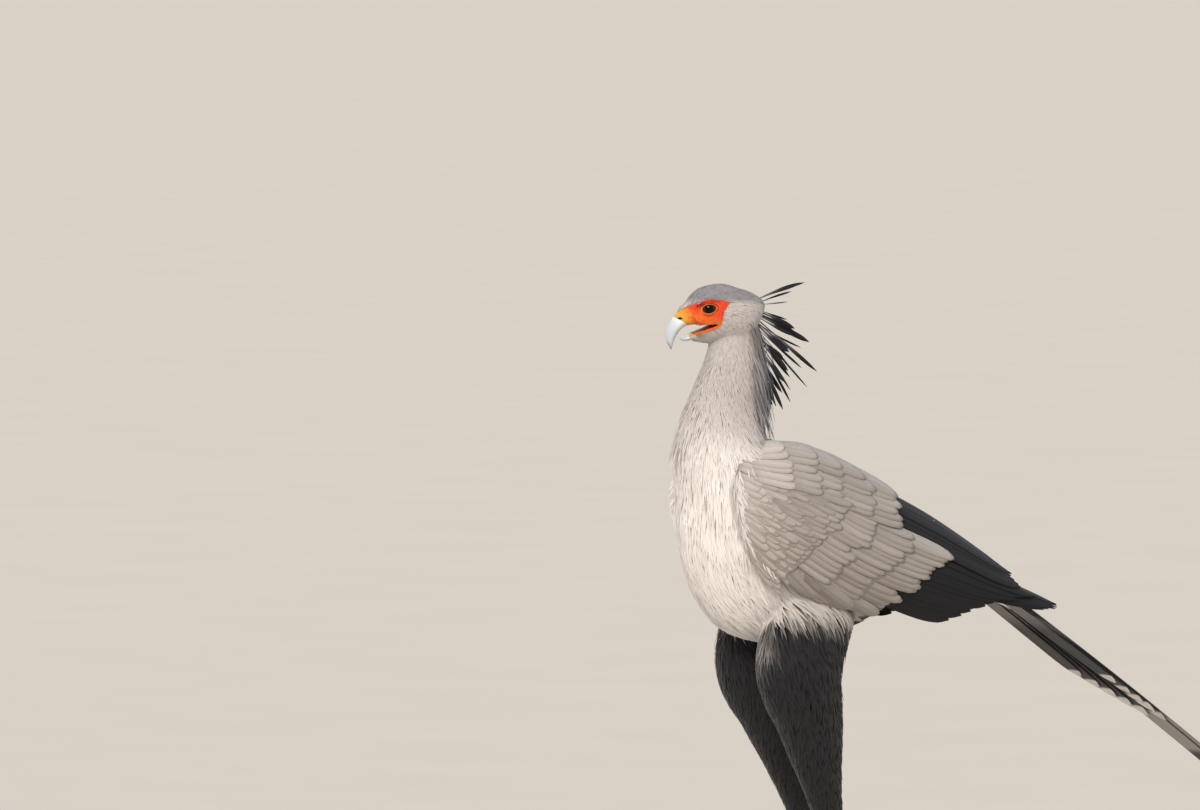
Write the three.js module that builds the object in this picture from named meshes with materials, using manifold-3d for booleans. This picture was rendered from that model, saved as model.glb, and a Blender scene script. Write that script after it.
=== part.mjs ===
// A standing secretary bird at life size, in millimetres, +Z up, facing -Y, with its left side towards +X.
// Torso, neck and head are swelled tubes that are joined and then parted by thin cuts. The wings, tail, thighs,
// legs and feet are cut to meet them, and the long feathers are vanes rooted in the part that they grow from.
import * as THREE from "three";
import { mergeVertices } from "three/addons/utils/BufferGeometryUtils.js";
import Module from "manifold-3d";

const wasm = await Module();
wasm.setup();

// Driving sizes
const GAP = 0.3; // between two parts that meet
const VANE = 0.7; // the thickness of a feather
const BREAST_Y = -62; // the foremost point of the breast
const RUMP_Y = 350; // the rear end of the torso
const EYE_MIDDLE = [-14.7, -9.9, 1087.2]; // the point midway between the eyes
const HEAD_YAW = -20; // degrees, the head looks a little to its right
const CUFF_Z = 372; // the height at which the feathered thigh ends
const SHANK_FOOT = 22; // the height at which the shank meets the foot
const TAIL_SLOPE = 34; // degrees below the horizontal
const STRIDE = 26; // how far the left foot stands ahead, and the right one behind

const point = (x, y, z) => new THREE.Vector3(x, y, z);
const mix = THREE.MathUtils.lerp;
const radians = THREE.MathUtils.degToRad;

// A smooth run of values through [where, value] keys in rising order.
function track(keys) {
  const slope = (i) => {
    const before = keys[Math.max(i - 1, 0)];
    const after = keys[Math.min(i + 1, keys.length - 1)];
    return (after[1] - before[1]) / (after[0] - before[0]);
  };
  return (where) => {
    let i = 0;
    while (i < keys.length - 2 && where > keys[i + 1][0]) i++;
    const [start, low] = keys[i];
    const [end, high] = keys[i + 1];
    const span = end - start;
    const s = THREE.MathUtils.clamp((where - start) / span, 0, 1);
    const lowPart = (1 + 2 * s) * (1 - s) * (1 - s) * low + s * s * (3 - 2 * s) * high;
    return lowPart + s * (1 - s) * span * ((1 - s) * slope(i) - s * slope(i + 1));
  };
}

// A closed solid from points and triangles, turned to face outwards.
function solid(points, faces) {
  const geometry = new THREE.BufferGeometry().setFromPoints(points);
  geometry.setIndex(faces);
  const merged = mergeVertices(geometry, 1e-4);
  const make = (triangles) =>
    new wasm.Manifold(
      new wasm.Mesh({
        numProp: 3,
        vertProperties: merged.attributes.position.array,
        triVerts: new Uint32Array(triangles),
      }),
    );
  const made = make(merged.index.array);
  return made.volume() > 0 ? made : make([...merged.index.array].reverse());
}

// A tube through rings of points, closed at both ends by a fan.
function tube(rings) {
  const sides = rings[0].length;
  const last = (rings.length - 1) * sides;
  const points = rings.flat();
  const middle = (ring) => ring.reduce((sum, p) => sum.add(p), point(0, 0, 0)).divideScalar(sides);
  points.push(middle(rings[0]), middle(rings[rings.length - 1]));
  const faces = [];
  for (let j = 0; j < sides; j++) {
    const next = (j + 1) % sides;
    for (let k = 0; k < last; k += sides) {
      faces.push(k + j, k + next, k + sides + next, k + j, k + sides + next, k + sides + j);
    }
    faces.push(points.length - 2, next, j, points.length - 1, last + j, last + next);
  }
  return solid(points, faces);
}

// A ring of points round a centre, from its two half axes. The egg value narrows the upper half.
function ring(centre, across, up, sides, egg = 0) {
  return Array.from({ length: sides }, (_, j) => {
    const turn = (2 * Math.PI * j) / sides;
    const wide = Math.cos(turn) * (1 - egg * Math.sin(turn));
    return centre.clone().addScaledVector(across, wide).addScaledVector(up, Math.sin(turn));
  });
}

// A swelled limb along a path of stations {at, wide, deep}, with rings square to the path in the YZ plane.
function limb(stations, sides, steps, grow = 0) {
  const path = new THREE.CatmullRomCurve3(stations.map((s) => s.at));
  const keys = (name) => track(stations.map((s, i) => [i / (stations.length - 1), s[name]]));
  const wide = keys("wide");
  const deep = keys("deep");
  return tube(
    Array.from({ length: steps + 1 }, (_, k) => {
      const t = k / steps;
      const along = path.getTangent(t);
      const across = point(1, 0, 0).addScaledVector(along, -along.x).normalize();
      const up = across.clone().cross(along).normalize();
      const centre = path.getPoint(t);
      return ring(centre, across.multiplyScalar(wide(t) + grow), up.multiplyScalar(deep(t) + grow), sides);
    }),
  );
}

// The shared points and the triangles of a closed three.js shape.
function bare(geometry) {
  geometry.deleteAttribute("normal").deleteAttribute("uv");
  const merged = mergeVertices(geometry, 1e-4);
  const spots = merged.attributes.position;
  const points = Array.from({ length: spots.count }, (_, i) => new THREE.Vector3().fromBufferAttribute(spots, i));
  return { points, faces: [...merged.index.array] };
}

// A ball stretched to three half sizes, turned about the X axis and set in place.
function ball(centre, halves, sides, rings, tilt = 0) {
  const geometry = new THREE.SphereGeometry(1, sides, rings);
  geometry.scale(...halves).rotateX(radians(tilt)).translate(...centre);
  const { points, faces } = bare(geometry);
  return solid(points, faces);
}

// A thin feather through rows of {at, up} points from edge to edge, with both its faces split alike.
function vane(rows) {
  const across = rows[0].length;
  const points = rows.flatMap((row) => [-0.5, 0.5].flatMap((side) =>
    row.map(({ at, up }) => at.clone().addScaledVector(up, side * VANE)),
  ));
  const faces = [];
  const band = (a, b, c, d) => faces.push(a, b, c, a, c, d);
  for (let k = 0; k < rows.length; k++) {
    const under = 2 * across * k;
    const over = under + across;
    const next = 2 * across;
    for (let j = 0; j < across - 1; j++) {
      if (k === 0) band(under + j, under + j + 1, over + j + 1, over + j);
      if (k === rows.length - 1) {
        band(under + j, over + j, over + j + 1, under + j + 1);
        continue;
      }
      band(over + j, over + j + 1, over + j + 1 + next, over + j + next);
      faces.push(under + j, under + j + 1 + next, under + j + 1, under + j, under + j + next, under + j + 1 + next);
    }
    if (k === rows.length - 1) continue;
    band(under, over, over + next, under + next);
    band(over + across - 1, under + across - 1, under + across - 1 + next, over + across - 1 + next);
  }
  return solid(points, faces);
}

// A flat feather along a line, from its outline of [share of length, share of width] rows.
function feather(outline, line, half, up, roll) {
  return vane(
    outline.map(([share, width]) => {
      const at = line(share);
      const along = line(Math.min(share + 0.02, 1)).sub(line(Math.max(share - 0.02, 0))).normalize();
      const side = along.clone().cross(up).normalize().applyAxisAngle(along, roll);
      const lifted = side.clone().cross(along);
      return [-1, 1].map((edge) => ({ at: at.clone().addScaledVector(side, edge * half * width), up: lifted }));
    }),
  );
}

// A seeded row of draws from 0 to 1, so that the bird is built alike each time.
function draws(seed) {
  let state = seed;
  return () => {
    state = (state * 1664525 + 1013904223) % 4294967296;
    return state / 4294967296;
  };
}

const join = (solids) => wasm.Manifold.union(solids);
const largest = (made) => made.decompose().sort((a, b) => b.volume() - a.volume())[0];
const beyond = (made, normal, distance) => made.trimByPlane(normal, distance + GAP / 2);
const before = (made, normal, distance) =>
  made.trimByPlane(normal.map((n) => -n), -distance + GAP / 2);

// Torso: an inclined egg, deepest behind the breast. Shares run from the breast to the rump.
const torsoMiddle = track([[0, 815], [0.1, 798], [0.25, 778], [0.5, 766], [0.75, 760], [1, 766]]);
const torsoDeep = track([[0, 190], [0.1, 182], [0.25, 147], [0.5, 118], [0.75, 88], [1, 64]]);
const torsoWide = track([[0, 112], [0.1, 114], [0.25, 97], [0.5, 80], [0.75, 60], [1, 42]]);

function torsoForm(grow) {
  const steps = 16;
  const sides = 22;
  const rings = [];
  for (let k = 0; k < steps; k++) {
    const turn = (Math.PI * (k + 0.5)) / steps;
    const share = (1 - Math.cos(turn)) / 2;
    const reach = Math.sin(turn);
    const centre = point(0, mix(BREAST_Y - grow, RUMP_Y + grow, share), torsoMiddle(share));
    const across = point(torsoWide(share) * reach + grow, 0, 0);
    rings.push(ring(centre, across, point(0, 0, torsoDeep(share) * reach + grow), sides));
  }
  return tube(rings);
}

// Neck: a short, thick column of plumage from inside the torso to inside the head.
const NECK = [
  { at: point(0, 48, 790), wide: 98, deep: 94 },
  { at: point(0, 24, 845), wide: 88, deep: 81 },
  { at: point(0, 6, 892), wide: 70, deep: 67 },
  { at: point(0, 4, 930), wide: 55, deep: 61 },
  { at: point(0, 12, 972), wide: 44, deep: 51 },
  { at: point(-1, 23, 1012), wide: 38, deep: 44 },
  { at: point(-3, 27, 1050), wide: 34, deep: 39 },
  { at: point(-4, 25, 1084), wide: 30, deep: 33 },
];
const neckForm = (grow) => limb(NECK, 20, 14, grow);

// Head, in its own frame: the origin midway between the eyes, facing -Y
const headPlace = new THREE.Matrix4()
  .makeTranslation(...EYE_MIDDLE)
  .multiply(new THREE.Matrix4().makeRotationZ(radians(HEAD_YAW)));
const inHead = (made) => made.transform(headPlace.elements);
const ahead = (forward, up, side = 0) => point(side, -forward, up);

const HEAD_ACROSS = 90; // more than the head's width
const NAPE = -78; // how far forward of the eyes the back of the head lies
const BROW = 36; // and the front end of the skull, inside the cere
const headMiddle = track([[0, 2], [0.16, -7], [0.31, -10], [0.47, -8], [0.66, -8], [0.82, -10.5], [1, -21]]);
const headDeep = track([[0, 30], [0.16, 38], [0.31, 39.3], [0.47, 40], [0.66, 40.8], [0.82, 44], [1, 50]]);
const headWide = track([[0, 38], [0.16, 40], [0.31, 38], [0.47, 36], [0.66, 35], [0.82, 31.5], [1, 30]]);

function skull() {
  const steps = 13;
  const sides = 18;
  const rings = [];
  for (let k = 0; k < steps; k++) {
    const turn = (Math.PI * (k + 0.5)) / steps;
    const share = (1 - Math.cos(turn)) / 2;
    const reach = Math.sin(turn);
    const centre = ahead(mix(NAPE, BROW, share), headMiddle(share));
    const across = point(headWide(share) * reach, 0, 0);
    rings.push(ring(centre, across, point(0, 0, headDeep(share) * reach), sides));
  }
  return tube(rings);
}

// The eyes sit under a brow ridge, each in a ring of lids.
const EYE_SIDE = 24.5;
const EYE_RADIUS = 10.5;
const LID = { wide: 10.6, high: 7.6, deep: 2.1, thick: 0.24, out: 31.2, turn: -12 };
const eyeball = (side, grow) => ball([side * EYE_SIDE, 0, 0], Array(3).fill(EYE_RADIUS + grow), 14, 9);

function lidRing(side) {
  const geometry = new THREE.TorusGeometry(1, LID.thick, 4, 13).rotateY(Math.PI / 2);
  const { points, faces } = bare(geometry);
  const placed = points.map((p) =>
    point((p.x * LID.deep) / LID.thick, p.y * LID.wide, p.z * LID.high)
      .applyAxisAngle(point(0, 0, 1), radians(side * LID.turn))
      .add(point(side * LID.out, 0, 0)),
  );
  return solid(placed, faces);
}

const browRidge = (side) => ball([side * 26.2, -2, 10.4], [7.4, 19, 3.4], 10, 6, 8);

// Bill: the upper half is a hooked tube between the culmen and the cutting edge, its first length the waxy cere.
const CULMEN = [[18, 12], [31, 3.2], [41, -8.4], [47.6, -18.5], [53, -33], [51.4, -44.5], [46.4, -53.5]];
const EDGE = [[6, -20], [18, -21.3], [27, -23.6], [34, -28.8], [39.6, -37], [43.2, -45.5], [45, -53.5]];
const billWide = track([[0, 17], [0.2, 15.6], [0.4, 12.8], [0.6, 10], [0.8, 7], [0.94, 3.6], [1, 1.2]]);

function upperBill() {
  const curve = (line) => new THREE.CatmullRomCurve3(line.map(([f, u]) => ahead(f, u)));
  const top = curve(CULMEN);
  const bottom = curve(EDGE);
  const steps = 12;
  return tube(
    Array.from({ length: steps + 1 }, (_, k) => {
      const t = k / steps;
      const high = top.getPoint(t);
      const low = bottom.getPoint(t);
      const up = high.clone().sub(low).multiplyScalar(0.5);
      return ring(high.add(low).multiplyScalar(0.5), point(billWide(t), 0, 0), up, 12, 0.3);
    }),
  );
}

function lowerBill() {
  const steps = 6;
  const wide = track([[0, 15], [0.5, 11], [0.8, 8.4], [1, 3]]);
  const deep = track([[0, 6], [0.5, 4.6], [0.8, 3.4], [1, 1.2]]);
  const line = new THREE.CatmullRomCurve3([ahead(2, -33), ahead(15, -36), ahead(26, -38.8), ahead(33.5, -40)]);
  return tube(
    Array.from({ length: steps + 1 }, (_, k) => {
      const t = k / steps;
      return ring(line.getPoint(t), point(wide(t), 0, 0), point(0, 0, deep(t)), 10);
    }),
  );
}

// A block across the whole head, from its outline of [forward, up] corners.
function headBlock(corners) {
  const shape = new THREE.Shape(corners.map(([f, u]) => new THREE.Vector2(f, u)));
  const { points, faces } = bare(new THREE.ExtrudeGeometry(shape, { depth: HEAD_ACROSS, bevelEnabled: false }));
  return solid(points.map((p) => ahead(p.x, p.y, p.z - HEAD_ACROSS / 2)), faces);
}

// The open mouth: a wedge from the corner of the gape to the tip of the lower bill.
const MOUTH = [[-16.5, -19.5], [8, -21.4], [40, -27], [40, -41.5], [32, -37.4], [17, -32.4], [0, -26.2]];

// What lies in front of the face: the cere's slanted rear edge above, the chin below.
const FACE_FRONT = [[42.5, 22], [11, -23.5], [17, -32], [17, -70], [80, -70], [80, 22]];
const faceFront = (back) => headBlock(FACE_FRONT.map(([f, u]) => [f - back, u]));

// Crest: long lance feathers from the nape, the upper ones raised and the lower ones hanging.
const LANCE = [[0, 0.45], [0.35, 0.5], [0.68, 1], [0.9, 0.74], [1, 0.12]];
const crestAngle = track([[0, 19], [0.12, 13], [0.22, -20], [0.5, -39], [0.8, -56], [1, -69]]);
const crestLength = track([[0, 84], [0.2, 92], [0.45, 114], [0.6, 124], [1, 96]]);
const crestRoot = { forward: track([[0, -60], [0.5, -62], [1, -70]]), up: track([[0, 12], [0.4, -6], [1, -52]]) };

function crest() {
  const count = 13;
  const draw = draws(7);
  const feathers = [];
  for (let i = 0; i < count; i++) {
    const share = i / (count - 1);
    const spread = (i % 2 ? 1 : -1) * (0.25 + 0.75 * draw());
    const angle = radians(crestAngle(share) + 6 * (draw() - 0.5));
    const long = crestLength(share) * (0.85 + 0.3 * draw());
    const droop = 14 * draw();
    const root = ahead(crestRoot.forward(share), crestRoot.up(share), spread * 14);
    const way = ahead(-Math.cos(angle), Math.sin(angle), spread * 0.34).normalize();
    const line = (t) => root.clone().addScaledVector(way, long * t).add(point(0, 0, -droop * t * t));
    const roll = (draw() - 0.5) * 2.2;
    feathers.push(feather(LANCE, line, 4.2 + 1.4 * draw(), point(0, 0.4, 1), roll));
  }
  return join(feathers);
}

const CERE_CUT = { normal: [0, -0.516, -0.857], distance: 32.5 }; // the cere's sloping front edge

// Wing: a sheet through three rails from the shoulder to the tip, thickened inwards and cut to the body.
const rail = (spots) => new THREE.CatmullRomCurve3(spots.map((s) => point(...s)));
const TOP_RAIL = rail([[50, 6, 906], [38, 100, 905], [28, 200, 869], [18, 310, 819], [11, 420, 755], [14, 505, 706]]);
const MIDDLE_RAIL = rail([[84, -20, 842], [110, 76, 808], [106, 190, 772], [82, 310, 742], [61, 410, 714], [42, 508, 688]]);
const LOWER_RAIL = rail([[78, 8, 752], [94, 90, 712], [90, 180, 690], [80, 290, 674], [70, 395, 670], [56, 496, 672]]);

function wingPoint(along, down, lift = 0) {
  const top = TOP_RAIL.getPoint(along).multiplyScalar((1 - down) * (1 - 2 * down));
  const middle = MIDDLE_RAIL.getPoint(along).multiplyScalar(4 * down * (1 - down));
  const lower = LOWER_RAIL.getPoint(along).multiplyScalar(down * (2 * down - 1));
  const spot = top.add(middle).add(lower);
  return lift ? spot.addScaledVector(wingNormal(along, down), lift) : spot;
}

function wingNormal(along, down) {
  const step = 0.01;
  const a = THREE.MathUtils.clamp(along, step, 1 - step);
  const b = THREE.MathUtils.clamp(down, step, 1 - step);
  const back = wingPoint(a + step, b).sub(wingPoint(a - step, b));
  const fall = wingPoint(a, b + step).sub(wingPoint(a, b - step));
  return fall.cross(back).normalize();
}

// The wing's core lies under the feathers: the sheet sinks in steps where more tiers lie over it.
const coreLift = track([[0, 1], [0.31, 0.6], [0.42, -4.5], [0.55, -9], [0.72, -13.5], [1, -19], [1.2, -22]]);
const CORE = { end: 0.66, thick: track([[0, 10], [0.2, 18], [0.45, 12], [0.66, 3]]) };

function wingCore() {
  const steps = 11;
  const across = 8;
  return tube(
    Array.from({ length: steps + 1 }, (_, k) => {
      const along = (CORE.end * k) / steps;
      const half = 0.47 * Math.sqrt(1 - (1 - Math.min(1, k / 3 + 0.2)) ** 2);
      const shares = Array.from({ length: across + 1 }, (_, j) => mix(0.5 - half, 0.5 + half, j / across));
      const outer = shares.map((down) => wingPoint(along, down, coreLift(along + down / 2)));
      const inner = shares.slice(1, -1).map((down, j) => {
        const swell = Math.sin((Math.PI * (j + 1)) / across);
        return wingPoint(along, down, coreLift(along + down / 2) - 2 - CORE.thick(along) * swell);
      });
      return [...outer, ...inner.reverse()];
    }),
  );
}

// Tiers of wing feathers, from the shoulder's cover down to the hidden tips. Each row gives the [along, down]
// places of the roots and tips of its uppermost and its lowest feather.
const SHORT_FEATHER = [[0, 0.62], [0.45, 1], [0.85, 0.86], [1, 0.24]];
const LONG_FEATHER = [[0, 0.55], [0.42, 1], [0.88, 0.84], [1, 0.2]];
const TIERS = [
  { name: "scapulars", roots: [[0.02, 0.04], [0.08, 0.22]], tips: [[0.33, 0.04], [0.29, 0.28]], count: 3, half: 15, lift: 3 },
  { name: "long scapulars", roots: [[0.18, 0.03], [0.2, 0.15]], tips: [[0.53, 0.06], [0.49, 0.22]], count: 2, half: 17, lift: -0.6 },
  { name: "median coverts", roots: [[0.23, 0.24], [0.05, 0.64]], tips: [[0.42, 0.33], [0.27, 0.84]], count: 6, half: 14, lift: -0.4 },
  { name: "greater coverts", roots: [[0.34, 0.3], [0.14, 0.76]], tips: [[0.6, 0.38], [0.42, 0.95]], count: 6, half: 14.5, lift: -4 },
  { name: "tertials", roots: [[0.36, 0.06], [0.4, 0.28]], tips: [[0.82, 0.14], [0.86, 0.38]], count: 3, half: 16, lift: -6.4 },
  { name: "secondaries", roots: [[0.44, 0.4], [0.3, 0.8]], tips: [[0.9, 0.48], [0.64, 1.0]], count: 6, half: 13.5, lift: -8 },
  { name: "primaries", roots: [[0.5, 0.4], [0.48, 0.56]], tips: [[1.0, 0.36], [0.95, 0.7]], count: 4, half: 11, lift: -11.8 },
];
const OVERLAP_LIFT = 1.3; // the lower edge of each feather lies over the next one
const WING_LONG = 500;

function wingFeather(root, tip, half, lift) {
  const run = [tip[0] - root[0], tip[1] - root[1]];
  const outline = run[0] > 0.33 ? LONG_FEATHER : SHORT_FEATHER;
  return vane(
    outline.map(([share, width]) => {
      const along = root[0] + run[0] * share;
      const down = root[1] + run[1] * share;
      const high = wingPoint(along, 0).distanceTo(wingPoint(along, 0.5)) * 2;
      const long = Math.hypot(run[0] * WING_LONG, run[1] * high);
      const sunk = 5 * (1 - Math.min(1, share / 0.3)) ** 2;
      return [-1, 0, 1].map((edge) => {
        const a = along - (edge * half * width * run[1] * high) / long / WING_LONG;
        const d = down + (edge * half * width * run[0] * WING_LONG) / long / high;
        return { at: wingPoint(a, d, lift - sunk + edge * OVERLAP_LIFT * width), up: wingNormal(a, d) };
      });
    }),
  );
}

function wingFeathers() {
  const draw = draws(3);
  return TIERS.flatMap((tier) =>
    Array.from({ length: tier.count }, (_, i) => {
      const share = i / (tier.count - 1);
      const place = (ends) => ends[0].map((start, axis) => mix(start, ends[1][axis], share));
      const tip = place(tier.tips);
      tip[0] += 0.014 * (draw() - 0.5);
      return wingFeather(place(tier.roots), tip, tier.half, tier.lift);
    }),
  );
}

// Tail: the rump and its coverts taper into the folded tail feathers.
const tailTurn = radians(TAIL_SLOPE);
const TAIL_ROOT = point(0, 318, 776);
const alongTail = (distance, side = 0, lift = 0) =>
  point(
    side,
    TAIL_ROOT.y + distance * Math.cos(tailTurn) + lift * Math.sin(tailTurn),
    TAIL_ROOT.z - distance * Math.sin(tailTurn) + lift * Math.cos(tailTurn),
  );

function rump(grow) {
  const spots = [
    { at: alongTail(-24), wide: 34, deep: 30 },
    { at: alongTail(50), wide: 34, deep: 23 },
    { at: alongTail(115), wide: 29, deep: 14 },
    { at: alongTail(165), wide: 20, deep: 7 },
  ];
  return limb(spots, 14, 8, grow);
}

// Each pair of tail feathers lies under the pair before it and ends sooner. The middle pair is by far the longest.
const TAIL_FEATHER = [[0, 0.5], [0.3, 0.9], [0.8, 0.95], [0.95, 0.62], [1, 0.2]];
const tailLength = track([[0, 593], [1, 400], [2, 375], [3, 350], [4, 322], [5, 292]]);
const TAIL_PAIRS = 6;
const TAIL_STEP = 1.25; // from one feather to the next below
const TAIL_SAG = 16; // of a feather that is as long as the middle pair

function tailFeathers() {
  return Array.from({ length: 2 * TAIL_PAIRS }, (_, i) => {
    const pair = Math.floor(i / 2);
    const side = i % 2 ? -1 : 1;
    const turn = side * radians(0.4 + 0.7 * pair);
    const long = tailLength(pair) - (i % 2) * 9;
    const line = (t) => {
      const lift = 5 - TAIL_STEP * i - TAIL_SAG * ((long * t) / tailLength(0)) ** 2;
      return alongTail(45 + long * t, side * (5 + 2.4 * pair) + long * t * Math.sin(turn), lift);
    };
    return feather(TAIL_FEATHER, line, pair ? 19 : 21, point(0, Math.sin(tailTurn), Math.cos(tailTurn)), 0);
  });
}

// Legs: the left one stands ahead and the right one behind.
const legPath = (side) => ({
  hip: point(side * 50, 118, 706),
  knee: point(side * 60, 92 - (side * STRIDE) / 6, 622),
  calf: point(side * 58, 132 - side * STRIDE * 0.45, 480),
  cuff: point(side * 56, 163 - side * STRIDE * 0.62, CUFF_Z - 4),
  hock: point(side * 55, 170 - side * STRIDE * 0.7, 318),
  foot: point(side * 54, 150 - side * STRIDE, 14),
});

function thighForm(side, grow) {
  const leg = legPath(side);
  const between = (a, b, share) => a.clone().lerp(b, share);
  return limb(
    [
      { at: leg.hip, wide: 40, deep: 62 },
      { at: leg.knee, wide: 45, deep: 62 },
      { at: between(leg.knee, leg.calf, 0.5), wide: 37, deep: 49 },
      { at: leg.calf, wide: 27, deep: 33 },
      { at: between(leg.calf, leg.cuff, 0.6), wide: 19, deep: 21 },
      { at: leg.cuff, wide: 13.5, deep: 15 },
    ],
    14,
    11,
    grow,
  );
}

function shankForm(side) {
  const leg = legPath(side);
  const between = (share) => leg.hock.clone().lerp(leg.foot, share);
  return limb(
    [
      { at: leg.cuff.clone().add(point(0, -2, 16)), wide: 9, deep: 10 },
      { at: leg.hock, wide: 13, deep: 15 },
      { at: between(0.12), wide: 9.5, deep: 11.5 },
      { at: between(0.5), wide: 8.2, deep: 10 },
      { at: between(0.88), wide: 9, deep: 10 },
      { at: leg.foot, wide: 12, deep: 11 },
    ],
    10,
    14,
  );
}

// Scutes: broad plates down the front of the shank, the foot of each standing proud of the next.
const SCUTES = { count: 8, top: 292, bottom: SHANK_FOOT + 8, arc: 16, raised: [1, 1.8], sunk: 4 };

function scutes(side) {
  const leg = legPath(side);
  const high = (SCUTES.top - SCUTES.bottom) / SCUTES.count;
  const arch = (z, reach) => {
    const centre = leg.hock.clone().lerp(leg.foot, (leg.hock.z - z) / (leg.hock.z - leg.foot.z));
    return [-3, -1, 1, 3].map((step) => {
      const turn = radians(SCUTES.arc * step);
      return point(centre.x + Math.sin(turn) * (8.2 + reach), centre.y - Math.cos(turn) * (9.8 + reach), z);
    });
  };
  return Array.from({ length: SCUTES.count }, (_, i) =>
    tube(
      SCUTES.raised.map((raised, k) => {
        const z = SCUTES.top - high * (i + 0.9 * k);
        return [...arch(z, raised), ...arch(z, -SCUTES.sunk).reverse()];
      }),
    ),
  );
}

const TOES = [
  { name: "inner", turn: 30, length: 43 },
  { name: "middle", turn: 0, length: 56 },
  { name: "outer", turn: -30, length: 45 },
  { name: "hind", turn: 166, length: 25 },
];
const PAD_DIP = 0.6; // how far the pads would sink, trimmed to flats that stand on the floor

function toePoint(toe, distance, height) {
  const turn = radians(toe.turn);
  return point(-Math.sin(turn) * distance, -Math.cos(turn) * distance, height);
}

function toeForm(toe) {
  const steps = 5;
  const turn = radians(toe.turn);
  const across = point(Math.cos(turn), -Math.sin(turn), 0);
  return tube(
    Array.from({ length: steps + 1 }, (_, k) => {
      const share = k / steps;
      const radius = mix(8.6, 5.8, share) * (1 + 0.06 * Math.cos(share * Math.PI * 5));
      const centre = toePoint(toe, mix(4, toe.length - GAP / 2, share), radius - PAD_DIP);
      return ring(centre, across.clone().multiplyScalar(radius), point(0, 0, radius), 8);
    }),
  );
}

function clawForm(toe) {
  const steps = 4;
  const long = 17;
  const turn = radians(toe.turn);
  const across = point(Math.cos(turn), -Math.sin(turn), 0);
  return tube(
    Array.from({ length: steps + 1 }, (_, k) => {
      const share = k / steps;
      const radius = mix(3.7, 0.6, share ** 1.4);
      const centre = toePoint(toe, toe.length + GAP / 2 + long * share, 6.4 - 4.4 * share ** 2);
      return ring(centre, across.clone().multiplyScalar(radius * 0.85), point(0, 0, radius), 6);
    }),
  );
}

function footForm() {
  const hub = ball([0, 0, 12.2], [12.5, 12.5, 12.8], 10, 6);
  return join([hub, ...TOES.map(toeForm)]);
}

// Materials
const finish = (color, roughness, metalness = 0) => new THREE.MeshStandardMaterial({ color, roughness, metalness });
const PALE = finish(0xcfc9c2, 0.9);
const GREY = finish(0xa39d9a, 0.88);
const BLACK = finish(0x1d1c1f, 0.8);
const FACE = finish(0xe2591c, 0.5);
const CERE = finish(0xe8a52c, 0.45);
const HORN = finish(0xaab4bd, 0.35);
const EYE = finish(0x24150d, 0.05);
const LEG = finish(0xc9a493, 0.6);
const CLAW = finish(0x3a3431, 0.4);

const bird = new THREE.Group();

function add(name, made, material) {
  const mesh = largest(made).getMesh();
  const geometry = new THREE.BufferGeometry();
  geometry.setAttribute("position", new THREE.BufferAttribute(mesh.vertProperties, 3));
  geometry.setIndex(new THREE.BufferAttribute(mesh.triVerts, 1));
  geometry.computeVertexNormals();
  const piece = new THREE.Mesh(geometry, material);
  piece.name = name;
  bird.add(piece);
  return piece;
}

// Flesh: one form, parted by thin cuts
const HEAD_CUT = { normal: [0, 0.28, 0.96], distance: 983 };
const TORSO_CUT = { normal: [0, -0.35, 0.937], distance: 835 };
const openings = inHead(join([headBlock(MOUTH), faceFront(GAP), eyeball(1, GAP), eyeball(-1, GAP)]));
const face = inHead(join([skull(), lidRing(1), lidRing(-1), browRidge(1), browRidge(-1)]));
const flesh = join([torsoForm(0), neckForm(0), face]);
const skin = join([torsoForm(GAP), neckForm(GAP)]);

const headFlesh = beyond(flesh, HEAD_CUT.normal, HEAD_CUT.distance).subtract(openings);
add("head", headFlesh.add(inHead(crest())), GREY);
const belowHead = before(flesh, HEAD_CUT.normal, HEAD_CUT.distance);
add("neck", beyond(belowHead, TORSO_CUT.normal, TORSO_CUT.distance), PALE);
add("torso", before(belowHead, TORSO_CUT.normal, TORSO_CUT.distance), PALE);

for (const [name, side] of [["left", 1], ["right", -1]]) {
  add("eye_" + name, inHead(eyeball(side, 0)), EYE);
}

const nostrils = join([1, -1].map((side) => ball([side * 12.5, -34.5, -12], [4, 3.6, 1.6], 8, 4, 30)));
const billTop = upperBill().subtract(nostrils).intersect(faceFront(0));
add("cere", inHead(before(billTop, CERE_CUT.normal, CERE_CUT.distance)), CERE);
add("bill_upper", inHead(beyond(billTop, CERE_CUT.normal, CERE_CUT.distance)), HORN);
add("bill_lower", inHead(lowerBill().intersect(faceFront(0)).subtract(headBlock(MOUTH))), HORN);

// Tail and wings, each wing cut clear of the body, the thighs and the tail
const tail = join([rump(0).subtract(skin), ...tailFeathers()]);
add("tail", tail.subtract(skin), GREY);
const thighsGrown = join([thighForm(1, GAP), thighForm(-1, GAP)]);
const wing = join([wingCore(), ...wingFeathers()]);
const clear = join([skin, thighsGrown, rump(GAP)]);
const wingSolids = { left: wing, right: wing.mirror([1, 0, 0]) };
for (const [name, side] of [["left", 1], ["right", -1]]) {
  const half = wingSolids[name].subtract(clear).trimByPlane([side, 0, 0], GAP / 2);
  add("wing_" + name, half, GREY);
}

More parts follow.
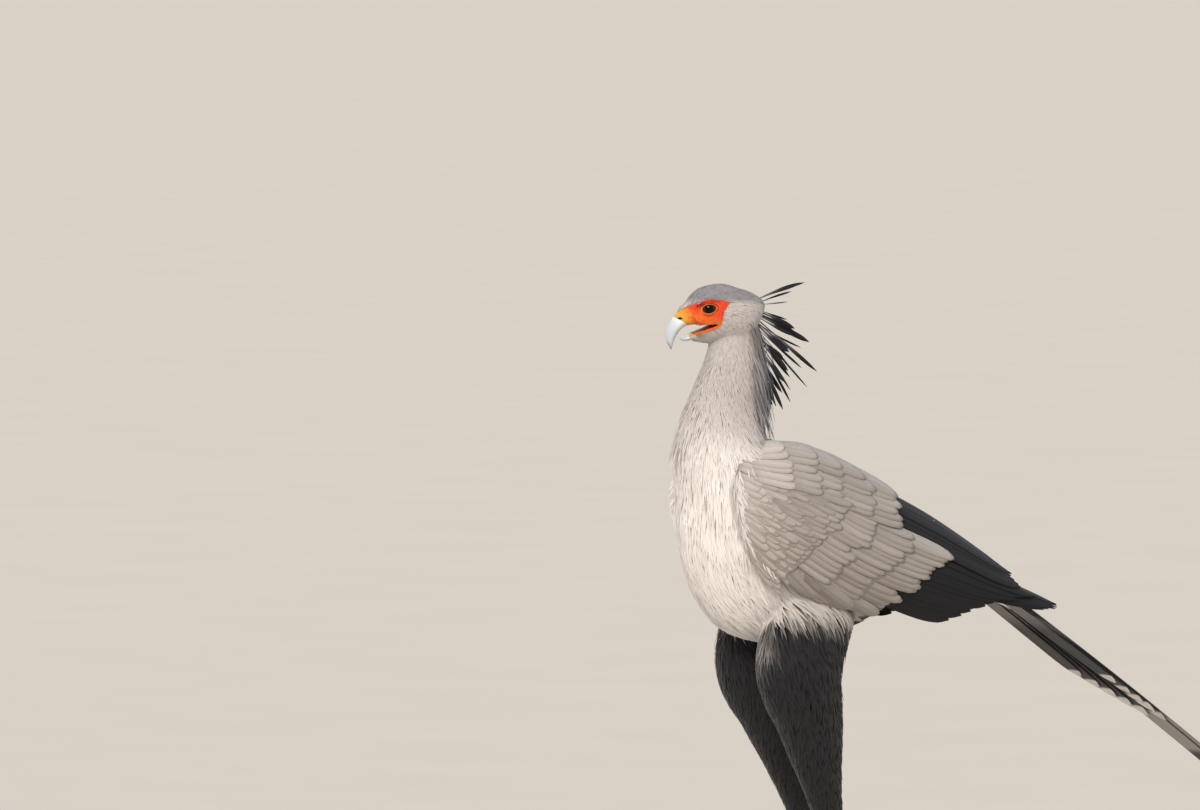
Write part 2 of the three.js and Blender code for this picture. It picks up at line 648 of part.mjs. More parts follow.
// Legs
for (const [name, side] of [["left", 1], ["right", -1]]) {
  const thigh = thighForm(side, 0).subtract(skin);
  add("thigh_" + name, beyond(thigh, [0, 0, 1], CUFF_Z), BLACK);
  const scaled = join([shankForm(side), ...scutes(side)]);
  const shank = beyond(before(scaled, [0, 0, 1], CUFF_Z), [0, 0, 1], SHANK_FOOT);
  add("shank_" + name, shank, LEG);
  const stand = legPath(side).foot;
  const splay = side * 6;
  const foot = before(footForm().trimByPlane([0, 0, 1], 0), [0, 0, 1], SHANK_FOOT);
  const pieces = [["foot_" + name, foot, LEG]];
  for (const toe of TOES) pieces.push(["claw_" + name + "_" + toe.name, clawForm(toe), CLAW]);
  for (const [label, made, material] of pieces) {
    const turned = (side > 0 ? made : made.mirror([1, 0, 0])).rotate([0, 0, splay]);
    add(label, turned.translate([stand.x, stand.y, 0]), material);
  }
}

// The part's origin is the bottom centre of its box.
const box = new THREE.Box3().setFromObject(bird);
const centre = box.getCenter(point(0, 0, 0));
bird.position.set(-centre.x, -centre.y, -box.min.z);

export default bird;
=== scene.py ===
# %% [markdown]
# A standing secretary bird, dressed over its solids.
# The solids hold the sizes and the pose. Here one skin takes the place of the flesh, and every feather is a
# thin mesh that lies over it. Sizes below are in millimetres, in the same places as in the solids, and a
# helper moves them into the frame, which is in metres.

# %% The frame
import math

import bmesh
import bpy
import numpy as np
from mathutils import Matrix, Vector
from mathutils.bvhtree import BVHTree


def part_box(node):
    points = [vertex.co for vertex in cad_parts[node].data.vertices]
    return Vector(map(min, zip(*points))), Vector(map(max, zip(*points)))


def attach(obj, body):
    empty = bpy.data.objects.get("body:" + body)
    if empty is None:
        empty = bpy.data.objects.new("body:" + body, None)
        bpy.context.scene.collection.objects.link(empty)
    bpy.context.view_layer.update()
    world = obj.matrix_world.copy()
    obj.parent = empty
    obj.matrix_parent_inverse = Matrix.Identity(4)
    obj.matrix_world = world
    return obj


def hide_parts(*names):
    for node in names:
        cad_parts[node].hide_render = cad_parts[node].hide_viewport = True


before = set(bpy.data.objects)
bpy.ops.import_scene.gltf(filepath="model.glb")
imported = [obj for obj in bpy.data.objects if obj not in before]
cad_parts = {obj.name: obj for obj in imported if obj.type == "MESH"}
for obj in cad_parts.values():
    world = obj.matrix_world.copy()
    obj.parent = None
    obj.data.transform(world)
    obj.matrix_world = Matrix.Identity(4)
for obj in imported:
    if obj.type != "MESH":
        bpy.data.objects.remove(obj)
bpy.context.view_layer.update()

# %% Sizes shared with the solids
MM = 0.001
BREAST_Y = -62  # the front of the breast
RUMP_Y = 350  # the rear of the flesh
EYE_MIDDLE = (-14.7, -9.9, 1087.2)  # midway between the eyes
HEAD_YAW = math.radians(-20)
TAIL_SLOPE = math.radians(34)
CUFF_Z = 372  # where the thigh's feathers end
STRIDE = 26  # how far the left foot stands ahead
SIDES = (("left", 1), ("right", -1))

eye_boxes = [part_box("eye_" + name) for name, side in SIDES]
eyes_at = sum((low + high for low, high in eye_boxes), Vector()) / 4
SHIFT = np.array(eyes_at) - np.array(EYE_MIDDLE) * MM
print("the frame lies", [round(float(s), 4) for s in SHIFT], "from the drawing's origin")


def spot(x, y, z):
    """A point of the drawing, in millimetres, as metres in the frame."""
    return np.array((x, y, z), float) * MM + SHIFT


def drawn(points):
    """Points of the frame as millimetres of the drawing: x, y and z."""
    return np.moveaxis((np.asarray(points) - SHIFT) / MM, -1, 0)


# %% [markdown]
# Smooth runs of values.
# The body swells and narrows along its length. A few keys with a smooth curve through them say how, for a
# single size as for a path in space.

# %% Tracks and paths
def track(keys):
    """A smooth run of values through (where, value) keys in rising order."""
    where = np.array([key[0] for key in keys], float)
    value = np.array([key[1] for key in keys], float)
    before = np.maximum(np.arange(len(keys)) - 1, 0)
    after = np.minimum(np.arange(len(keys)) + 1, len(keys) - 1)
    slope = (value[after] - value[before]) / (where[after] - where[before])

    def at(place):
        i = np.clip(np.searchsorted(where, place) - 1, 0, len(where) - 2)
        span = where[i + 1] - where[i]
        s = np.clip((place - where[i]) / span, 0, 1)
        level = (1 + 2 * s) * (1 - s) ** 2 * value[i] + s * s * (3 - 2 * s) * value[i + 1]
        return level + s * (1 - s) * span * ((1 - s) * slope[i] - s * slope[i + 1])

    return at


def path(spots):
    """A smooth line through spots, from share 0 to 1, in millimetres of the drawing."""
    shares = np.linspace(0, 1, len(spots))
    axes = [track(list(zip(shares, axis))) for axis in zip(*spots)]
    return lambda share: np.stack([axis(share) for axis in axes], -1)


def unit(vectors):
    return vectors / np.maximum(np.linalg.norm(vectors, axis=-1, keepdims=True), 1e-9)


def mix(low, high, share):
    return low + (high - low) * share


# %% [markdown]
# The head's own directions.
# The bird looks a little to its right, so places on the head are given forward of the eyes, above them and
# towards the bird's left.

# %% Head directions
AHEAD = np.array((math.sin(HEAD_YAW), -math.cos(HEAD_YAW), 0.0))
ASIDE = np.array((math.cos(HEAD_YAW), math.sin(HEAD_YAW), 0.0))
UP = np.array((0.0, 0.0, 1.0))
outer = np.multiply.outer  # each number of a row times a direction
print("the bird looks along", AHEAD.round(3))


def on_head(forward, up, side=0.0):
    """A place on the head in the drawing's millimetres."""
    parts = outer(forward, AHEAD) + outer(side, ASIDE) + outer(up, UP)
    return np.array(EYE_MIDDLE) + parts


def head_axes(x, y, z):
    """How far forward of, above and beside the eyes a point of the drawing lies."""
    east, north = x - EYE_MIDDLE[0], y - EYE_MIDDLE[1]
    forward = east * AHEAD[0] + north * AHEAD[1]
    side = east * ASIDE[0] + north * ASIDE[1]
    return forward, z - EYE_MIDDLE[2], side


# %% [markdown]
# Shader sums.
# A marking is easiest to read as arithmetic. This small class wraps one output socket, so that a sum of
# wires adds the Math nodes it needs, and the same formula also works on plain numbers.

# %% A wire and a finish
class Wire:
    """One output socket of a finish, which takes part in sums."""

    def __init__(self, finish, socket):
        self.finish = finish
        self.socket = socket

    def sum(self, operation, *others, clamp=False):
        values = {i + 1: other for i, other in enumerate(others)}
        return self.finish.node("Math", {"operation": operation, "use_clamp": clamp}, {0: self, **values})

    def __add__(self, other):
        return self.sum("ADD", other)

    def __mul__(self, other):
        return self.sum("MULTIPLY", other)

    def __sub__(self, other):
        return self.sum("SUBTRACT", other)

    def __neg__(self):
        return self.sum("MULTIPLY", -1.0)

    def __rsub__(self, other):
        return -self + other

    def out(self, number):
        """Another output of the same node."""
        return Wire(self.finish, self.socket.node.outputs[number])

    __radd__ = __add__
    __rmul__ = __mul__


# %% A finish
class Finish:
    """A material that is written as sums of wires."""

    def __init__(self, name):
        self.material = bpy.data.materials.new(name)
        self.material.use_nodes = True
        self.tree = self.material.node_tree
        self.tree.nodes.clear()

    def node(self, kind, settings=None, sockets=None, out=0):
        """Adds a node: its settings first, then the values or wires of its sockets."""
        made = self.tree.nodes.new("ShaderNode" + kind)
        for name, value in (settings or {}).items():
            setattr(made, name, value)
        for name, value in (sockets or {}).items():
            self.feed(made.inputs[name], value)
        return Wire(self, made.outputs[out]) if made.outputs else None

    def feed(self, socket, value):
        if isinstance(value, Wire):
            self.tree.links.new(value.socket, socket)
        elif isinstance(value, (tuple, list, np.ndarray)) and socket.type == "RGBA":
            socket.default_value = (*value[:3], 1.0)
        else:
            socket.default_value = value

    def blend(self, low, high, share):
        """Goes from one colour to another as share goes from 0 to 1."""
        return self.node("Mix", {"data_type": "RGBA"}, {0: share, 6: low, 7: high}, out=2)

    def layers(self, colour, *tints):
        """Lays each (tint, share) over the colour in turn."""
        for tint, share in tints:
            colour = self.blend(colour, tint, share)
        return colour

    def scaled(self, colour, amount):
        """A colour or vector made stronger or weaker."""
        return self.node("VectorMath", {"operation": "SCALE"}, {0: colour, "Scale": amount})

    def noise(self, where, scale, detail):
        return self.node("TexNoise", None, {"Vector": where, "Scale": scale, "Detail": detail})

    def object_place(self):
        return self.node("TexCoord", out=3)

    def attribute(self, name, out=2):
        return self.node("Attribute", {"attribute_name": name}, None, out=out)

    def drawn(self, where):
        """The x, y and z of a place in the drawing's millimetres."""
        moved = self.node("VectorMath", {"operation": "SUBTRACT"}, {0: where, 1: tuple(SHIFT)})
        x = self.node("SeparateXYZ", None, {0: self.scaled(moved, 1 / MM)})
        return x, x.out(1), x.out(2)

    def surface(self, bump=None, **sockets):
        """Ends the finish in one Principled shader. A bump is (height, depth in metres)."""
        values = {name.replace("_", " "): value for name, value in sockets.items()}
        if bump:
            sockets = {"Strength": 1.0, "Distance": bump[1], "Height": bump[0]}
            values["Normal"] = self.node("Bump", None, sockets)
        shader = self.node("BsdfPrincipled", None, values)
        self.node("OutputMaterial", None, {"Surface": shader})
        return self.material


# %% Sums that work on wires and on numbers
def capped(value):
    return value.sum("ADD", 0.0, clamp=True) if isinstance(value, Wire) else np.clip(value, 0, 1)


def most(value, other):
    return value.sum("MAXIMUM", other) if isinstance(value, Wire) else np.maximum(value, other)


def rise(value, low, high):
    """Goes smoothly from 0 to 1 as value goes from low to high."""
    share = capped((value - low) * (1 / (high - low)))
    return share * share * (3 - 2 * share)


def drop(value, low, high):
    """Goes smoothly from 1 to 0 as value goes from low to high."""
    return 1 - rise(value, low, high)


# %% [markdown]
# Markings.
# The bare face, the dark crown and nape, the white breast and the black thighs are places on the body. Each
# is a formula of place, so the skin, the feathers over it and the sowing of the feathers all agree.

# %% Where each marking lies
# The border of the bare face over and under the eye, as forward and up
FACE_TOP = [(-27, 8.5), (-15, 11.5), (-4, 12.6), (9, 11), (18, 6.5), (27, 1.5), (38, -4.5)]
FACE_BOTTOM = [(-27, 8), (-22, 2), (-18, -5), (-16.5, -17), (-14, -23), (-7, -27.5), (11, -34), (30, -40)]
CERE_REAR = 37.0  # how far forward the forehead's feathers reach


def bent(value, knots):
    """The height of a line that bends at each (where, height) knot."""
    slopes = [(b[1] - a[1]) / (b[0] - a[0]) for a, b in zip(knots, knots[1:])]
    level = (value - knots[0][0]) * slopes[0] + knots[0][1]
    for (where, _), before, after in zip(knots[1:], slopes, slopes[1:]):
        level = level + most(value - where, 0.0) * (after - before)
    return level


def bare_face(forward, up, ragged=0.0):
    """1 on the bare skin of the face, 0 under feathers."""
    under = rise(up - bent(forward, FACE_BOTTOM) + ragged, -0.8, 0.8)
    over = drop(up - bent(forward, FACE_TOP) + ragged, -0.8, 0.8)
    return most(under * over, rise(forward, CERE_REAR, CERE_REAR + 1.5))


def is_crown(forward, up):
    return rise(up + forward * 0.06, 5.0, 12.0) * rise(-forward, -44.0, -31.0)


def is_nape(y, z):
    return rise(y + z * 0.02, 42.0, 66.0) * rise(z, 850.0, 905.0) * drop(z, 1074.0, 1092.0)


def is_breast(y, z):
    return drop(y, -5.0, 75.0) * drop(z, 880.0, 990.0)


def is_black(y, z):
    """The thighs, the belly between them and a band over the rump."""
    thigh = drop(z, 610.0, 630.0)
    belly = drop(z + y * 0.1, 690.0, 718.0) * rise(y - z * 0.36, -212.0, -192.0)
    rump = rise(y, 270.0, 300.0) * drop(y, 322.0, 345.0)
    return most(most(thigh, belly), rump)


# %% [markdown]
# Plumage colour.
# The feathers are grey-white, warmer in the light. Colour varies from feather to feather, carries painted
# shade that deepens it between them towards the root, and pales at the tips.

# %% Colours
CROWN_GREY = (0.268, 0.248, 0.262)
CHEEK = (0.49, 0.44, 0.415)
NECK_GREY = (0.485, 0.435, 0.41)
NAPE_BLUE = (0.17, 0.16, 0.185)
BREAST_WHITE = (0.755, 0.70, 0.66)
BODY_GREY = (0.46, 0.415, 0.375)
BLACK = (0.012, 0.0115, 0.013)
FACE_RED = (0.80, 0.045, 0.004)
FACE_ORANGE = (0.90, 0.155, 0.006)
FACE_YELLOW = (0.86, 0.40, 0.02)


def plumage(finish, where):
    """The colour of the plumage at a place."""
    x, y, z = finish.drawn(where)
    forward, up = head_axes(x, y, z)[:2]
    patchy = finish.noise(where, 38.0, 3.0) - 0.5
    ragged = patchy * 16  # how far a border strays, in millimetres
    head = finish.blend(CHEEK, CROWN_GREY, is_crown(forward, up + patchy * 6))
    return finish.layers(
        BODY_GREY,
        (NECK_GREY, rise(z + ragged, 780.0, 880.0)),
        (BREAST_WHITE, is_breast(y + ragged, z)),
        (NAPE_BLUE, is_nape(y + ragged, z)),
        (BREAST_WHITE, rise(y, 318.0, 345.0)),  # the coverts over the tail's root
        (BLACK, is_black(y + ragged, z + ragged)),
        (head, rise(z - y * 0.28, 1048.0, 1062.0)),
    )


# %% The skin's own colours
UPPER_LIP = [(-16.5, -19.5), (8, -21.4), (40, -27)]
LOWER_LIP = [(-16.5, -19.5), (0, -26.2), (17, -32.4), (32, -37.4)]
NOSTRIL = (36.2, -12.8)


def face_paint(finish, forward, up, where):
    """The bare skin: red behind and over the eye, orange below it, yellow towards the bill."""
    mottle = finish.noise(where, 420.0, 3.0)
    redness = capped(rise(up + forward * -0.25, -19.0, 0.0) + mottle * 0.5 - 0.25)
    colour = finish.blend(FACE_ORANGE, FACE_RED, redness)
    yellow = rise(forward - up * 0.35 + mottle * 9, 24.0, 43.0)
    return finish.blend(colour, FACE_YELLOW, yellow), mottle


def skin_finish():
    finish = Finish("skin")
    where = finish.object_place()
    x, y, z = finish.drawn(where)
    forward, up, side = head_axes(x, y, z)
    paint, mottle = face_paint(finish, forward, up, where)
    pebbles = finish.node("TexVoronoi", {"feature": "DISTANCE_TO_EDGE"}, {"Vector": where, "Scale": 1100.0})
    crease = drop((finish.noise(where, 400.0, 0.0) - 0.5).sum("ABSOLUTE"), 0.0, 0.12)
    # painted shade in the bare skin's hollows: darker between the pebbles and along the creases, where its
    # bump sinks too
    paint = finish.scaled(paint, 0.5 + mottle * 0.72 + pebbles * 0.7 - crease * 0.17)
    bare = bare_face(forward, up, (mottle - 0.5) * 2.4) * rise(z, 1020.0, 1030.0)
    # painted shade: the skin under the feathers is darkened to 0.84 of the plumage's colour
    under = finish.scaled(plumage(finish, where), 0.84)
    colour = finish.blend(under, paint, bare)
    # painted shade: the opening of the mouth is painted nearly black
    mouth_shade = rise(up - bent(forward, LOWER_LIP), -0.5, 0.3)
    mouth_shade = mouth_shade * drop(up - bent(forward, UPPER_LIP), -0.3, 0.5) * rise(forward, -16.6, -15.5)
    mouth_shade = mouth_shade * drop(side.sum("ABSOLUTE") - forward * -0.25, 16.0, 18.5)
    # painted shade: the hollow of the nostril is painted nearly black
    along, over = (forward - NOSTRIL[0]) * 0.28, (up - NOSTRIL[1]) * 0.62
    nostril_shade = drop(along * along + over * over, 0.55, 1.15)
    colour = finish.layers(colour, ((0.045, 0.006, 0.006), mouth_shade), ((0.02, 0.006, 0.003), nostril_shade))
    roughness = 0.85 - bare * 0.42 + mottle * 0.1
    height = pebbles * 0.6 + finish.noise(where, 700.0, 4.0) - crease * 0.45
    return finish.surface((height, 0.0005), Base_Color=colour, Roughness=roughness, Specular_IOR_Level=0.4)


# %% The coat's finish
# painted glow: the coat gives off a tenth of its own colour as light, which lifts its shade
GLOW = 0.1  # stands for the light that passes through thin feathers


def coat_finish():
    """Small feathers: each takes the marking at its root, with painted shade darker at the root, and paler
    at the tip.
    """
    finish = Finish("plumage")
    root = finish.attribute("root", 1)
    along = finish.attribute("along")
    draw = finish.attribute("draw")
    clouds = finish.noise(root, 42.0, 3.0) - 0.5
    # painted shade: each feather is darker over the half next to its root, where the feathers overlap
    shade = 0.85 + rise(along, 0.0, 0.55) * 0.12 + along * along * 0.08
    shade = shade + (draw - 0.5) * 0.14 + clouds * 0.34
    colour = finish.scaled(plumage(finish, root), shade)
    return finish.surface(None, Base_Color=colour, Roughness=0.78 - along * 0.1, Sheen_Weight=0.2,
                          Sheen_Roughness=0.5, Specular_IOR_Level=0.22, Emission_Color=colour,
                          Emission_Strength=GLOW)


SKIN = skin_finish()
COAT = coat_finish()
print("markings ready:", SKIN.name, COAT.name)

# %% [markdown]
# The flesh.
# Torso, neck, head, thighs and rump are swelled tubes through rings. Each ring is a circle, stretched to
# its place, and bridging the rings gives a closed tube. Sculpting would do it too, but rings keep the sizes.
# A voxel remesh melts the tubes into one skin, which lies under the solids' surface by the feathers' depth.

# %% Rings and tubes
def ring_tube(bm, centres, across, high, sides, egg=0.0):
    """A closed tube through stretched circles. The egg value narrows the upper half."""
    loops = []
    last = len(centres) - 1
    for k, (centre, wide, tall) in enumerate(zip(centres, across, high)):
        made = bmesh.ops.create_circle(bm, cap_ends=k in (0, last), segments=sides, radius=1.0)
        for vert in made["verts"]:
            x, y = vert.co.x, vert.co.y
            vert.co = Vector((np.array(centre) + np.array(wide) * x * (1 - egg * y) + np.array(tall) * y))
        loops.append(list({edge for vert in made["verts"] for edge in vert.link_edges}))
    for here, there in zip(loops, loops[1:]):
        bmesh.ops.bridge_loops(bm, edges=here + there)


def limb(bm, stations, sides, steps, grow=0.0):
    """A tube along (place, half width, half depth) stations, with rings square to the path."""
    line = path([station[0] for station in stations])
    shares = np.linspace(0, 1, len(stations))
    wide = track([(share, station[1]) for share, station in zip(shares, stations)])
    deep = track([(share, station[2]) for share, station in zip(shares, stations)])
    at = np.linspace(0, 1, steps + 1)
    along = unit(line(np.minimum(at + 0.01, 1)) - line(np.maximum(at - 0.01, 0)))
    across = unit(np.array((1.0, 0, 0)) - along * along[:, :1])
    high = unit(np.cross(across, along))
    ring_tube(bm, line(at), across * (wide(at) + grow)[:, None], high * (deep(at) + grow)[:, None], sides)


def egg_rings(bm, ends, middle, wide, deep, place, sides, steps, grow=0.0):
    """A closed egg between two ends, from its half width and depth along the way."""
    turn = np.pi * (np.arange(steps) + 0.5) / steps
    share = (1 - np.cos(turn)) / 2
    reach = np.sin(turn)
    centres = place(mix(ends[0] - grow, ends[1] + grow, share), middle(share))
    across = place(np.zeros(steps), np.zeros(steps), wide(share) * reach + grow) - place(0.0, 0.0)
    high = place(np.zeros(steps), deep(share) * reach + grow) - place(0.0, 0.0)
    ring_tube(bm, centres, across, high, sides)


# %% From a bmesh to a piece
def placed(name, data):
    """A new object in the scene for a mesh, a lamp or a camera."""
    made = bpy.data.objects.new(name, data)
    bpy.context.scene.collection.objects.link(made)
    return made


def finished(name, bm, material=None):
    """A bmesh drawn in millimetres becomes an object in the frame."""
    bmesh.ops.recalc_face_normals(bm, faces=bm.faces[:])
    mesh = bpy.data.meshes.new(name)
    bm.to_mesh(mesh)
    bm.free()
    mesh.transform(Matrix.Translation(Vector(SHIFT)) @ Matrix.Scale(MM, 4))
    mesh.polygons.foreach_set("use_smooth", np.full(len(mesh.polygons), True))
    if material:
        mesh.materials.append(material)
    return placed(name, mesh)


def dressed(thing, slot, *replaced):
    """Rides the one body and stands in for the solids it replaces. The slot is not used."""
    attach(thing, "root")
    if replaced:
        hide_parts(*replaced)


def apply_modifier(thing, kind, **settings):
    """Puts one modifier on a piece and applies it."""
    modifier = thing.modifiers.new(kind.title(), kind)
    for name, value in settings.items():
        setattr(modifier, name, value)
    with bpy.context.temp_override(object=thing, active_object=thing, selected_objects=[thing]):
        bpy.ops.object.modifier_apply(modifier=modifier.name)


def melt(thing, size):
    """Melts overlapping forms into one, from cubes of a size in metres."""
    apply_modifier(thing, "REMESH", mode="VOXEL", voxel_size=size)


def combine(thing, operation, other):
    """Adds another closed form or cuts it away. The other one goes."""
    apply_modifier(thing, "BOOLEAN", operation=operation, solver="MANIFOLD", object=other)
    bpy.data.objects.remove(other)


# %% Torso, neck, rump and thighs
torso_middle = track([(0, 815), (0.1, 798), (0.25, 778), (0.5, 766), (0.75, 760), (1, 766)])
torso_deep = track([(0, 190), (0.1, 182), (0.25, 147), (0.5, 118), (0.75, 88), (1, 64)])
torso_wide = track([(0, 112), (0.1, 114), (0.25, 97), (0.5, 80), (0.75, 60), (1, 42)])
NECK = [  # a place, the half width and the half depth
    ((0, 48, 790), 98, 94), ((0, 24, 845), 88, 81), ((0, 6, 892), 70, 67), ((0, 4, 930), 55, 61),
    ((0, 12, 972), 44, 51), ((-1, 23, 1012), 38, 44), ((-3, 27, 1050), 34, 39), ((-4, 25, 1084), 30, 33),
]
TAIL_ROOT = np.array((0.0, 318.0, 776.0))


def along_tail(distance, side=0.0, lift=0.0):
    """Places behind the tail's root on its slope, in the drawing's millimetres."""
    distance, side, lift = np.broadcast_arrays(distance, side, lift)
    back = distance * math.cos(TAIL_SLOPE) + lift * math.sin(TAIL_SLOPE)
    fall = distance * math.sin(TAIL_SLOPE) - lift * math.cos(TAIL_SLOPE)
    return TAIL_ROOT + np.stack([side, back, -fall], -1)


RUMP = [
    (along_tail(-24), 34, 30), (along_tail(50), 34, 23),
    (along_tail(115), 29, 14), (along_tail(165), 20, 7),
]


def leg_stations(side):
    """The path of one leg, by the names of its joints. The left leg stands ahead."""
    return {
        "hip": np.array((side * 50, 118, 706.0)),
        "knee": np.array((side * 60, 92 - side * STRIDE / 6, 622.0)),
        "calf": np.array((side * 58, 132 - side * STRIDE * 0.45, 480.0)),
        "cuff": np.array((side * 56, 163 - side * STRIDE * 0.62, CUFF_Z - 4.0)),
        "hock": np.array((side * 55, 170 - side * STRIDE * 0.7, 318.0)),
        "foot": np.array((side * 54, 150 - side * STRIDE, 14.0)),
    }


def thigh_stations(side):
    hip, knee, calf, cuff, hock, foot = leg_stations(side).values()
    return [
        (hip, 40, 62), (knee, 45, 62), (mix(knee, calf, 0.5), 37, 49),
        (calf, 27, 33), (mix(calf, cuff, 0.6), 19, 21), (cuff, 13.5, 15),
    ]


COAT_DEPTH = {"torso": 9.0, "neck": 6.5, "thigh": 6.0, "rump": 5.0, "head": 2.0}
print("a leg's joints:", ", ".join(leg_stations(1)))


def body_place(y, z, x=0.0):
    return np.stack(np.broadcast_arrays(x, y, z), -1).astype(float)


def body_skin():
    bm = bmesh.new()
    egg_rings(bm, (BREAST_Y, RUMP_Y), torso_middle, torso_wide, torso_deep, body_place, 40, 36,
              -COAT_DEPTH["torso"])
    limb(bm, NECK, 36, 40, -COAT_DEPTH["neck"])
    limb(bm, RUMP, 24, 16, -COAT_DEPTH["rump"])
    for side in (1, -1):
        limb(bm, thigh_stations(side), 24, 30, -COAT_DEPTH["thigh"])
    body = finished("body", bm)
    melt(body, 0.0034)
    return body


# %% [markdown]
# The head.
# The skull is an egg with a brow ridge over each eye. The cere, which is the waxy skin at the root of the
# bill, is the first part of the same hooked tube as the horn, so bill and face meet in one smooth form. A
# wedge opens the mouth, and hollows take the eyes and nostrils.

# %% Skull, cere and their openings
NAPE = -78
BROW = 36
head_middle = track([(0, 2), (0.16, -7), (0.31, -10), (0.47, -8), (0.66, -8), (0.82, -10.5), (1, -21)])
head_deep = track([(0, 30), (0.16, 38), (0.31, 39.3), (0.47, 40), (0.66, 40.8), (0.82, 44), (1, 50)])
head_wide = track([(0, 38), (0.16, 40), (0.31, 38), (0.47, 36), (0.66, 35), (0.82, 31.5), (1, 30)])
CULMEN = [(18, 12), (31, 3.2), (41, -8.4), (47.6, -18.5), (53, -33), (51.4, -44.5), (46.4, -53.5)]
EDGE = [(6, -20), (18, -21.3), (27, -23.6), (34, -28.8), (39.6, -37), (43.2, -45.5), (45, -53.5)]
bill_wide = track([(0, 17), (0.2, 15.6), (0.4, 12.8), (0.6, 10), (0.8, 7), (0.94, 3.6), (1, 1.2)])
FACE_FRONT = [(42.5, 22), (11, -23.5), (17, -32), (17, -70), (80, -70), (80, 22)]
MOUTH = [*UPPER_LIP, (40, -41.5), *LOWER_LIP[:0:-1]]
CERE_WAY = (0.516, -0.857)  # square to the cere's front edge, forward and up
CERE_EDGE = 32.5  # how far along that way the edge lies
WEDGE_HALF = 45  # half the width of the blocks that cut the head
EYE_SIDE = 24.5
EYE_RADIUS = 10.5
print("the closed bill is", round(math.dist(CULMEN[0], CULMEN[-1])), "mm from cere to tip")


def bill_tube(bm, sides, steps, grow=0.0):
    """The hooked upper bill between its ridge and its cutting edge."""
    at = np.linspace(0, 1, steps + 1)
    top = path([on_head(f, u) for f, u in CULMEN])(at)
    edge = path([on_head(f, u) for f, u in EDGE])(at)
    high = (top - edge) / 2
    across = outer(bill_wide(at) + grow, ASIDE)
    ring_tube(bm, (top + edge) / 2, across, high + unit(high) * grow, sides, 0.3)


def cut_bill(bm, distance, keep_front):
    """Parts a closed bill along the slanted front edge of the cere and closes the cut."""
    way = AHEAD * CERE_WAY[0] + UP * CERE_WAY[1]
    at = np.array(EYE_MIDDLE) + way * distance
    cut = bmesh.ops.bisect_plane(bm, geom=bm.verts[:] + bm.edges[:] + bm.faces[:], dist=1e-4,
                                 plane_co=Vector(at), plane_no=Vector(way),
                                 clear_inner=keep_front, clear_outer=not keep_front)
    rim = [part for part in cut["geom_cut"] if isinstance(part, bmesh.types.BMEdge)]
    bmesh.ops.holes_fill(bm, edges=rim)


# %% The head's form
def ball(bm, centre, halves, pitch=0):
    """A stretched ball at a place on the head, its front tipped down by pitch degrees."""
    turn = Matrix.Rotation(HEAD_YAW, 4, "Z") @ Matrix.Rotation(math.radians(pitch), 4, "X")
    place = Matrix.Translation(Vector(centre)) @ turn @ Matrix.Diagonal((*halves, 1.0))
    bmesh.ops.create_uvsphere(bm, u_segments=24, v_segments=16, radius=1.0, matrix=place)


def wedge(bm, outline, half_width):
    """A block across the head from its side outline."""
    verts = [bm.verts.new(Vector(on_head(f, u, -half_width))) for f, u in outline]
    face = bm.faces.new(verts)
    grown = bmesh.ops.extrude_face_region(bm, geom=[face])
    moved = [part for part in grown["geom"] if isinstance(part, bmesh.types.BMVert)]
    bmesh.ops.translate(bm, verts=moved, vec=Vector(ASIDE * 2 * half_width))


def head_skin():
    bm = bmesh.new()
    egg_rings(bm, (NAPE, BROW), head_middle, head_wide, head_deep, on_head, 48, 40, -COAT_DEPTH["head"])
    for side in (1, -1):
        ball(bm, on_head(2, 10.0, side * 25.4), (6.2, 19, 3.2), 8)
        ball(bm, on_head(6, -12.5, side * 20.5), (7.5, 18, 8.5), 6)
        ball(bm, on_head(4, -28.0, side * 17.0), (7.0, 18, 5.2), 12)
    head = finished("head_form", bm)
    melt(head, 0.0012)
    front = bmesh.new()
    wedge(front, FACE_FRONT, WEDGE_HALF)
    combine(head, "DIFFERENCE", finished("face_front", front))
    cere = bmesh.new()
    bill_tube(cere, 40, 48, -0.1)
    cut_bill(cere, CERE_EDGE, keep_front=False)
    for side in (1, -1):
        ball(cere, on_head(19, -11.0, side * 11.5), (7.5, 13, 10.0), 14)
        ball(cere, on_head(15, -35.2, side * 8.0), (6.0, 10, 4.2), 10)
    cere = finished("cere_form", cere)
    melt(cere, 0.0009)
    combine(head, "UNION", cere)

    tools = bmesh.new()
    wedge(tools, MOUTH, WEDGE_HALF)
    for side in (1, -1):
        ball(tools, on_head(0, 0.3, side * 33.0), (8.2, 12.2, 8.8))
        ball(tools, on_head(*NOSTRIL, side * 12.4), (3.6, 3.4, 1.3), 30)
    combine(head, "DIFFERENCE", finished("openings", tools))
    melt(head, 0.00085)
    return head


# %% One skin
def smoothed(thing, times):
    bm = bmesh.new()
    bm.from_mesh(thing.data)
    for _ in range(times):
        bmesh.ops.smooth_vert(bm, verts=bm.verts[:], factor=0.5, use_axis_x=True, use_axis_y=True,
                              use_axis_z=True)
    bm.to_mesh(thing.data)
    bm.free()


def rows_of(parts, what, kind=float):
    """Three numbers of every part of a mesh, as an array."""
    numbers = np.empty(len(parts) * 3, kind)
    parts.foreach_get(what, numbers)
    return numbers.reshape(-1, 3)


